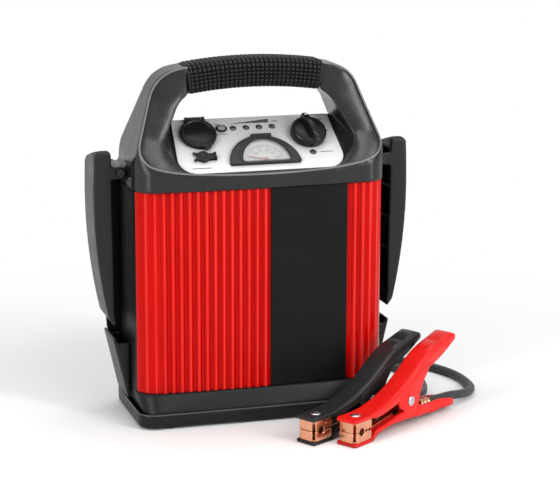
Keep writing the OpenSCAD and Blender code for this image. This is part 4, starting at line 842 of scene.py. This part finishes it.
def makeJackCap():
    # ring-shaped plug cover with a forked ear on one side and its strap on the other
    c = jackCap
    bm = bmesh.new()
    turned(bm, c["ring"], 40)
    for turn in c["ears"]:
        soften(bm, 0.4, 2, 40, block(bm, c["ear"], c["under"], c["earTop"], about("Z", turn)))
    soften(bm, 0.5, 2, 40, block(bm, c["lobe"], c["under"], c["lobeTop"]))
    turned(bm, c["barrel"], 16, at(*c["barrelSpot"]) @ about("X", 90))
    fitted("jackCap", bm, "rubber", "charge_jack_cap", onPanel(*spots["jack"]))


knob = {"skirt": [(3.05, 0.4), (15.6, 0.4), (16, 0.8), (16, 5.8), (15.6, 7.2), (14.4, 8.4), (12.6, 9.0),
                  (3.05, 9.0)],
        "flutes": 24, "flute": [(15.7, -0.55), (16.25, -0.45), (16.25, 0.45), (15.7, 0.55)],
        "fluteSpan": (1.2, 6.2), "bar": (15.2, 4, 1.2, 17), "arch": (35.2, 24.6), "edge": 1.1,
        "crestLean": (0.34, 6, 11), "tipLean": (0.30, 9, 6.2), "turn": 12,
        "dot": [(0, 0.35), (0.9, 0.35), (1.1, 0.1), (1.1, -0.4), (0, -0.4)], "dotSpot": (0, 11.2, 15.2),
        "dotLean": -20}


def makeKnob():
    # round skirt with a tall tapered bar that points at the setting
    k = knob
    bm = bmesh.new()
    turned(bm, k["skirt"], 72)
    for i in range(k["flutes"]):
        turn = 360 / k["flutes"] * (i + 0.5)
        soften(bm, 0.2, 1, 40, block(bm, k["flute"], *k["fluteSpan"], about("Z", turn)))
    reach, half, foot, crest = k["bar"]
    radius, turn = k["arch"]
    arch = arcOf(0, crest - radius, radius, 90 + turn, 90 - turn, 14)
    outline = [(-reach, foot)] + [(x, h) for x, h in arch if abs(x) < reach] + [(reach, foot)]
    bar = block(bm, outline, -half, half, about("Z", 90) @ about("X", 90))
    for v in bar:  # it narrows towards its crest and its tips
        lean = [1 - share * max(0, place - start) / length
                for place, (share, start, length) in ((v.co.z, k["crestLean"]), (abs(v.co.y), k["tipLean"]))]
        v.co.x *= lean[0] * lean[1]
    soften(bm, k["edge"], 4, 35, bar)
    dot = set(turned(bm, k["dot"], 20, at(*k["dotSpot"]) @ about("X", k["dotLean"])))
    for f in bm.faces:
        if all(v in dot for v in f.verts):
            f.material_index = 1
    made("powerKnob", bm, ["gloss_black", "print_white"], homes["power_knob"], "power_knob",
         place=onPanel(*spots["knob"], turn=k["turn"]))


gauge = {"radius": 32.5, "corner": 2, "window": 21.5, "windowTall": 25, "windowSpot": (1.4, 2.5),
         "thick": 3.0, "lip": (2.6, 1.0, 2.9, 3.5), "hood": (-7.6, 11.4, 31, 34), "hoodTop": 3.8}


def gaugeOutline(radius):
    # half a disc with rounded lower corners
    r = gauge["corner"]
    right = [(radius - r, 0)] + arcOf(radius - r, r, r, -60, 0, 4) + arcOf(0, 0, radius, 6, 84, 16)
    return right + mirrored(right)


def windowOutline(grow):
    x, y = gauge["windowSpot"]
    return [(u + x, v * gauge["windowTall"] / gauge["window"] + y)
            for u, v in gaugeOutline(gauge["window"] + grow)]


def ringBetween(bm, outer, inner, low, high):
    # a flat ring of that height between two outlines
    loops = [e for points in (outer, inner) for e in loopOf(bm, [(x, y, low) for x, y in points])]
    faces = bmesh.ops.bridge_loops(bm, edges=loops)["faces"]
    out = bmesh.ops.extrude_face_region(bm, geom=faces)["geom"]
    bmesh.ops.translate(bm, verts=vertsOf(out), vec=(0, 0, high - low))


def makeGauge():
    g = gauge
    bm = bmesh.new()
    ringBetween(bm, gaugeOutline(g["radius"]), windowOutline(0), 0, g["thick"])
    bmesh.ops.remove_doubles(bm, verts=bm.verts, dist=0.001)
    soften(bm, 0.9, 4, 55, above=g["thick"] - 0.1)
    outer, inner, low, high = g["lip"]
    ringBetween(bm, windowOutline(outer), windowOutline(inner), low, high)
    soften(bm, 0.8, 3, 40, block(bm, rectangle(*g["hood"]), 0, g["hoodTop"]))
    fitted("gaugeBezel", bm, "bezel_grey", "gauge_bezel", onPanel(*spots["gauge"]), 40)


dial = {"pivot": (1.4, 6), "face": -0.56, "film": 0.04, "from": 165, "to": 15, "radius": 17.2,
        "ticks": 20, "long": (3.2, 0.32), "short": (1.8, 0.18), "arc": (17.6, 17.25),
        "numbers": 6, "step": 20, "numberSize": 4.0, "numberReach": 11.2}


def makeDialPrint():
    # tick marks and plain numbers round the dial
    d = dial
    bm = bmesh.new()
    top, sweep = d["face"] + d["film"], d["from"] - d["to"]
    for i in range(d["ticks"] + 1):
        length, thick = d["short"] if i % 4 else d["long"]
        block(bm, rectangle(d["radius"] - length, d["radius"], -thick, thick), d["face"], top,
              at(*d["pivot"]) @ about("Z", d["from"] - sweep * i / d["ticks"]))
    far, near = d["arc"]
    block(bm, arcOf(0, 0, far, d["from"], d["to"], 30) + arcOf(0, 0, near, d["to"], d["from"], 30), d["face"],
          top, at(*d["pivot"]))
    for i in range(d["numbers"]):
        number = bpy.data.curves.new("number", "FONT")
        number.body, number.size, number.extrude = str(i * d["step"]), d["numberSize"], d["film"] / 2
        number.align_x = number.align_y = "CENTER"
        holder = bpy.data.objects.new("number", number)
        turn = math.radians(d["from"] - sweep * i / (d["numbers"] - 1))
        x, y = d["pivot"]
        cut = holder.to_mesh()
        cut.transform(at(x + d["numberReach"] * math.cos(turn), y + d["numberReach"] * math.sin(turn),
                         d["face"] + d["film"] / 2))
        bm.from_mesh(cut)
        holder.to_mesh_clear()
        bpy.data.objects.remove(holder)
    made("dialPrint", bm, ["print_dark"], homes["gauge_dial"], place=onPanel(*spots["gauge"]))


panelPrint = {"film": 0.05, "wedge": [(-21, -7.6), (-6, -7.4), (16, -7.8), (16, -3.3), (14, -3.6)],
              "bars": [(-31.5, -7.4, 5, 0.7), (21.5, -6.4, 5.5, 0.9), (-30, -17.6, 6.5, 0.6),
                       (-29, -19.4, 9, 0.6), (62, -6.6, 8, 1.0), (67.5, -20.5, 4, 1.2), (61, -45.6, 12, 0.7),
                       (-56, -58.0, 17, 0.8)]}  # middle, length and height of each


def makePanelPrint():
    # the wedge over the lights and small plain bars beside the controls
    bm = bmesh.new()
    block(bm, panelPrint["wedge"], 0, panelPrint["film"])
    for u, v, length, tall in panelPrint["bars"]:
        bar = rectangle(u - length / 2, u + length / 2, v - tall / 2, v + tall / 2)
        block(bm, bar, 0, panelPrint["film"])
    made("panelPrint", bm, ["print_dark"], "root", place=panelFrame)


button = {"centre": 1.3, "radius": 2.7, "gap": -0.35, "low": -3.4, "top": 1.8, "ring": (1.3, 0.05),
          "ringTop": 0.7}


def buttonOval(grow):
    right = arcOf(button["centre"], 0, button["radius"] + grow, -90, 90, 12)
    return right + [(-x, -y) for x, y in right]


def makeTestButton():
    # domed oval button in a dark ring
    b = button
    bm = bmesh.new()
    block(bm, buttonOval(b["gap"]), b["low"], b["top"])
    soften(bm, 0.8, 4, 40, above=b["top"] - 0.1)
    fitted("testButton", bm, "button_grey", "battery_test_button", onPanel(*spots["button"]), 60)
    bm = bmesh.new()
    outer, inner = b["ring"]
    ringBetween(bm, buttonOval(outer), buttonOval(inner), 0, b["ringTop"])
    soften(bm, 0.3, 2, 55, above=b["ringTop"] - 0.1)
    made("testButtonRing", bm, ["gloss_black"], "root", place=onPanel(*spots["button"]), sharp=60)


light = {"radius": 2.3, "low": -5, "start": 0.35, "dome": 1.05, "pitch": 12, "fault": (48.5, -45.5),
         "collar": [(2.35, 0), (3.0, 0), (2.9, 0.35), (2.5, 0.5), (2.3, 0.4)]}


def makeLights(name, node, places):
    # domed lamps, each in a thin collar
    r = light["radius"]
    dome = [(r * math.cos(math.radians(a)), light["start"] + light["dome"] * math.sin(math.radians(a)))
            for a in range(0, 91, 15)]
    bm = bmesh.new()
    for u, v in places:
        turned(bm, [(0, light["low"]), (r, light["low"])] + dome, 28, at(u, v))
        turned(bm, light["collar"], 28, at(u, v))
    fitted(name, bm, "light_dark", node, panelFrame, 40)


makeOutletCap()
makeJackCap()
makeKnob()
makeGauge()
makeDialPrint()
makePanelPrint()
makeTestButton()
makeLights("batteryLights", "battery_lights", [((i - 1.5) * light["pitch"], lightRow) for i in range(4)])
makeLights("faultLight", "fault_light", [light["fault"]])
print("panel pieces made")

# ---- screws and cable glands ----

screw = {"back": 47.5, "x": 96.5, "z": 203.5, "head": 3.4, "height": 1.6, "shank": 1.4, "length": 18,
         "turns": {-1: 65, 1: 20}}


def crossHead(bm, radius, height, place):
    # a pan head with a cross-shaped recess
    before = set(bm.verts)
    arm, slim, deep = radius * 0.56, radius * 0.14, height * 0.7
    cross = [(arm, -slim), (arm, slim), (slim, slim), (slim, arm), (-slim, arm), (-slim, slim), (-arm, slim),
             (-arm, -slim), (-slim, -slim), (-slim, -arm), (slim, -arm), (slim, -slim)]
    rim = arcOf(0, 0, radius * 0.72, -14, 346, 24)[:24]
    outer, inner = (loopOf(bm, [(x, y, z) for x, y in points])
                    for points, z in ((rim, height), (cross, height * 0.93)))
    bmesh.ops.bridge_loops(bm, edges=outer + inner)
    down = bmesh.ops.extrude_edge_only(bm, edges=inner)["geom"]
    bmesh.ops.translate(bm, verts=vertsOf(down), vec=(0, 0, -deep))
    floor = [e for e in edgesOf(down) if all(v.co.z < height * 0.5 for v in e.verts)]
    bmesh.ops.contextual_create(bm, geom=floor)
    for r, z in ((radius * 0.92, height * 0.78), (radius, height * 0.4), (radius, 0)):
        out = bmesh.ops.extrude_edge_only(bm, edges=outer)["geom"]
        ring = vertsOf(out)
        old = math.hypot(*ring[0].co.xy)
        bmesh.ops.scale(bm, vec=(r / old, r / old, 1), verts=ring)
        for v in ring:
            v.co.z = z
        outer = [e for e in edgesOf(out) if all(v in ring for v in e.verts)]
    bmesh.ops.transform(bm, matrix=place, verts=[v for v in bm.verts if v not in before])


def makeScrews():
    s = screw
    bm = bmesh.new()
    for side, turn in s["turns"].items():
        place = at(side * s["x"], s["back"], s["z"]) @ about("X", -90)
        crossHead(bm, s["head"], s["height"], place @ about("Z", turn))
        turned(bm, [(0, -s["length"]), (s["shank"], -s["length"]), (s["shank"], 0.2), (0, 0.2)], 16, place)
    fitted("rearScrews", bm, "steel", "rear_screws", sharp=30)


gland = {"back": 47.5, "height": 42, "x": {"red": -20, "black": -75},
         "collar": [(0, -2.4), (6.5, -2.4), (6.5, 0), (8.2, 0), (8.5, 0.3), (8.5, 2.4), (8.1, 3.0),
                    (7.2, 3.0)],
         "ribs": 5, "start": 3.4, "pitch": 3.7, "radius": 7.1, "taper": 0.42, "end": (4.75, 4.05, 23, 15)}


def makeGland(side):
    # strain relief: collar, ribs that get smaller, and a thin end
    g = gland
    boot = list(g["collar"])
    for i in range(g["ribs"]):
        r, y = g["radius"] - g["taper"] * i, g["start"] + g["pitch"] * i
        boot += [(r - 1.0, y), (r - 1.0, y + 0.9), (r - 0.2, y + 1.2), (r, y + 1.5), (r - 0.05, y + 3.0),
                 (r - 0.3, y + 3.3)]
    wide, bore, far, deep = g["end"]
    boot += [(wide, g["start"] + g["pitch"] * g["ribs"]), (wide, far - 0.1), (bore, far), (bore, deep)]
    bm = bmesh.new()
    turned(bm, boot, 40, at(g["x"][side], g["back"], g["height"]) @ about("X", -90))
    return fitted(side + "Gland", bm, "rubber", side + "_cable_gland", sharp=32)


makeScrews()
glands = {side: makeGland(side) for side in gland["x"]}
print("fixings made")

# ---- soft-edged mouldings ----


def moulding(name, look, parts, voxel=1.25, rounds=9, extra=None, after=None, seam=0.0):
    # the parts of one moulding, joined and given soft edges
    bm = bmesh.new()
    for part in parts:
        bm.from_mesh(frame["nodes"][part].data)
    if extra:
        extra(bm)
    rough = bpy.data.meshes.new(name + "Rough")
    bm.to_mesh(rough)
    bm.free()
    carrier = placed(name + "Rough", rough)
    remesh = carrier.modifiers.new("join", "REMESH")
    remesh.mode = "VOXEL"
    remesh.voxel_size = voxel * millimetre
    joined = bpy.data.meshes.new_from_object(carrier.evaluated_get(bpy.context.evaluated_depsgraph_get()))
    bpy.data.objects.remove(carrier)
    bm = bmesh.new()
    bm.from_mesh(joined)
    bpy.data.meshes.remove(joined)
    free = [v for v in bm.verts if v.co.z > seam]  # the edge on the seam stays where it is
    for _ in range(rounds):
        bmesh.ops.smooth_vert(bm, verts=free, factor=0.5, use_axis_x=True, use_axis_y=True, use_axis_z=True)
    if after:
        after(bm)
    bmesh.ops.transform(bm, matrix=Matrix.Scale(1 / millimetre, 4), verts=bm.verts)
    print(name, len(bm.faces), "faces")
    made(name, bm, [look], homes[parts[0]], *parts, sharp=60)


housing = {"parts": ("top_housing", "handle_arch", "left_leg_fascia", "right_leg_fascia"), "seam": 0.2112,
           "front": [(-9.5, 289.1), (-24.4, 254), (-44, 222)], "back": [(22.5, 294), (48.5, 230)],
           "eased": (0.228, 0.306, 0.05, 0.006), "easing": 90}
fillet = {"centre": (49.6, 265), "radius": 26, "from": 27, "to": 64, "inside": 0.2,
          "outside": [(64, 292), (72, 289), (76, 280)]}


def depthAt(profile, z):
    # the depth of a face at a height
    if z >= profile[0][1]:
        return profile[0][0]
    for (y0, z0), (y1, z1) in zip(profile, profile[1:]):
        if z >= z1:
            return y0 + (y1 - y0) * (z0 - z) / (z0 - z1)
    return profile[-1][0]


def openingFillets(bm):
    # wider rounds in the upper corners of the hand opening
    line = arcOf(*fillet["centre"], fillet["radius"], fillet["from"], fillet["to"], 12) + fillet["outside"]
    for side in (1, -1):
        new = block(bm, line, 0, 1, about("X", 90))
        for v in new:
            if v.co.y > -0.5:
                v.co.y = depthAt(housing["front"], v.co.z) + fillet["inside"]
            else:
                v.co.y = depthAt(housing["back"], v.co.z) - fillet["inside"]
            v.co.x *= side
        bmesh.ops.transform(bm, matrix=Matrix.Scale(millimetre, 4), verts=new)
        bmesh.ops.recalc_face_normals(bm, faces=list({f for v in new for f in v.link_faces}))


def easeFront(bm):
    # the face of the legs flows in one soft curve from the grip to the rim
    low, high, inner, depth = housing["eased"]
    front = [v for v in bm.verts if v.normal.y < -0.25 and low < v.co.z < high and abs(v.co.x) > inner
             and v.co.y < depthAt(housing["front"], v.co.z / millimetre) * millimetre + depth]
    for _ in range(housing["easing"]):
        bmesh.ops.smooth_vert(bm, verts=front, factor=0.5, use_axis_y=True)


moulding("topShell", "shell_round", housing["parts"], extra=openingFillets, after=easeFront,
         seam=housing["seam"])
for name, node in (("bottomTray", "bottom_tray"), ("lowerFrame", "lower_frame")):
    moulding(name, "base_black", (node,), voxel=1.1, rounds=3)
for kind in ("arm", "hook"):
    for side in ("left", "right"):
        moulding(side + kind.title(), "black_plastic", (side + "_" + kind,), voxel=0.8, rounds=5)
print("mouldings made")

# ---- thin beads along the housing's face and the tray's rim, pale as painted highlights ----

bead = {"radius": 0.9, "inset": 0.75, "lift": 0.5, "gripEnd": 61.6, "crownEnd": 71.2, "crown": (-101.7, 420),
        "shoulder": (66, 281.7, 31), "leg": ((95.3, 291.7), (113.4, 239.3)), "foot": (85, 229.5, 30),
        "footEnd": 222, "turnIn": -40.6, "corner": (93, -19, 22), "bow": 1443, "frontHalf": 96, "cuts": 12,
        "easing": 6}
lip = {"half": (116.5, 54), "corner": 15, "bow": 1, "inset": 0.55, "height": 13.5, "radius": 0.65}


def archPath():
    # the handle's outline on the right side, from the grip down to the foot
    b = bead
    z0, r = b["crown"]
    ends = [math.degrees(math.acos(x / r)) for x in (b["gripEnd"], b["crownEnd"])]
    points = arcOf(0, z0, r - b["inset"], *ends, 4)
    x, z, r = b["shoulder"]
    points += arcOf(x, z, r - b["inset"], 80, 19, 12)
    (x0, z0), (x1, z1) = b["leg"]
    points += [(x0 - b["inset"] + (x1 - x0) * i / 24, z0 + (z1 - z0) * i / 24) for i in range(1, 24)]
    x, z, r = b["foot"]
    return points + arcOf(x, z, r - b["inset"], 19, 0, 6) + [(x + r - b["inset"], b["footEnd"])]


def planX(y):
    # half the housing's width at a depth
    x, yc, r = bead["corner"]
    return x + (r if y >= yc else math.sqrt(max(r * r - (y - yc) ** 2, 0))) - bead["inset"]


def beadPath():
    # up the legs, round the corners and along the front of the housing
    b = bead
    half = []
    for x, z in archPath():
        y = depthAt(housing["front"], z)
        if y < b["turnIn"]:
            break
        half.append((min(x, planX(y)), y + b["lift"], z))
    (y0, z0), (y1, z1) = housing["front"][1:]
    for i in range(1, b["cuts"] + 1):
        x = b["frontHalf"] * (1 - i / b["cuts"])
        y = y1 + b["bow"] - math.sqrt(b["bow"] ** 2 - x * x)
        half.append((x, y + b["lift"], z1 + (y - y1) * (z1 - z0) / (y1 - y0)))
    points = half + [(-x, y, z) for x, y, z in reversed(half[:-1])]
    for _ in range(b["easing"]):
        points = [points[0]] + [tuple((p + 2 * q + r) / 4 for p, q, r in zip(*trio))
                                for trio in zip(points, points[1:], points[2:])] + [points[-1]]
    return points


def lipPath():
    # round the top edge of the tray's rim
    x, y = (h - lip["corner"] for h in lip["half"])
    r, front = lip["corner"] - lip["inset"], lip["inset"] - lip["half"][1]
    line = [(x * i / 10, front + lip["bow"] * (i / 10) ** 2) for i in range(-9, 10)]
    line += arcOf(x, lip["bow"] - y, r, -90, 0, 10) + arcOf(x, y, r, 0, 90, 10)
    line += arcOf(-x, y, r, 90, 180, 10) + arcOf(-x, lip["bow"] - y, r, 180, 270, 10)
    return [(*point, lip["height"]) for point in line]


tube("faceBead", beadPath(), bead["radius"], "rim_polish", 3, unit=millimetre)
tube("trayLip", lipPath(), lip["radius"], "edge_grey", 3, unit=millimetre, closed=True)
print("beads made")

# ---- the view layer brought up to date ----

bpy.context.view_layer.update()
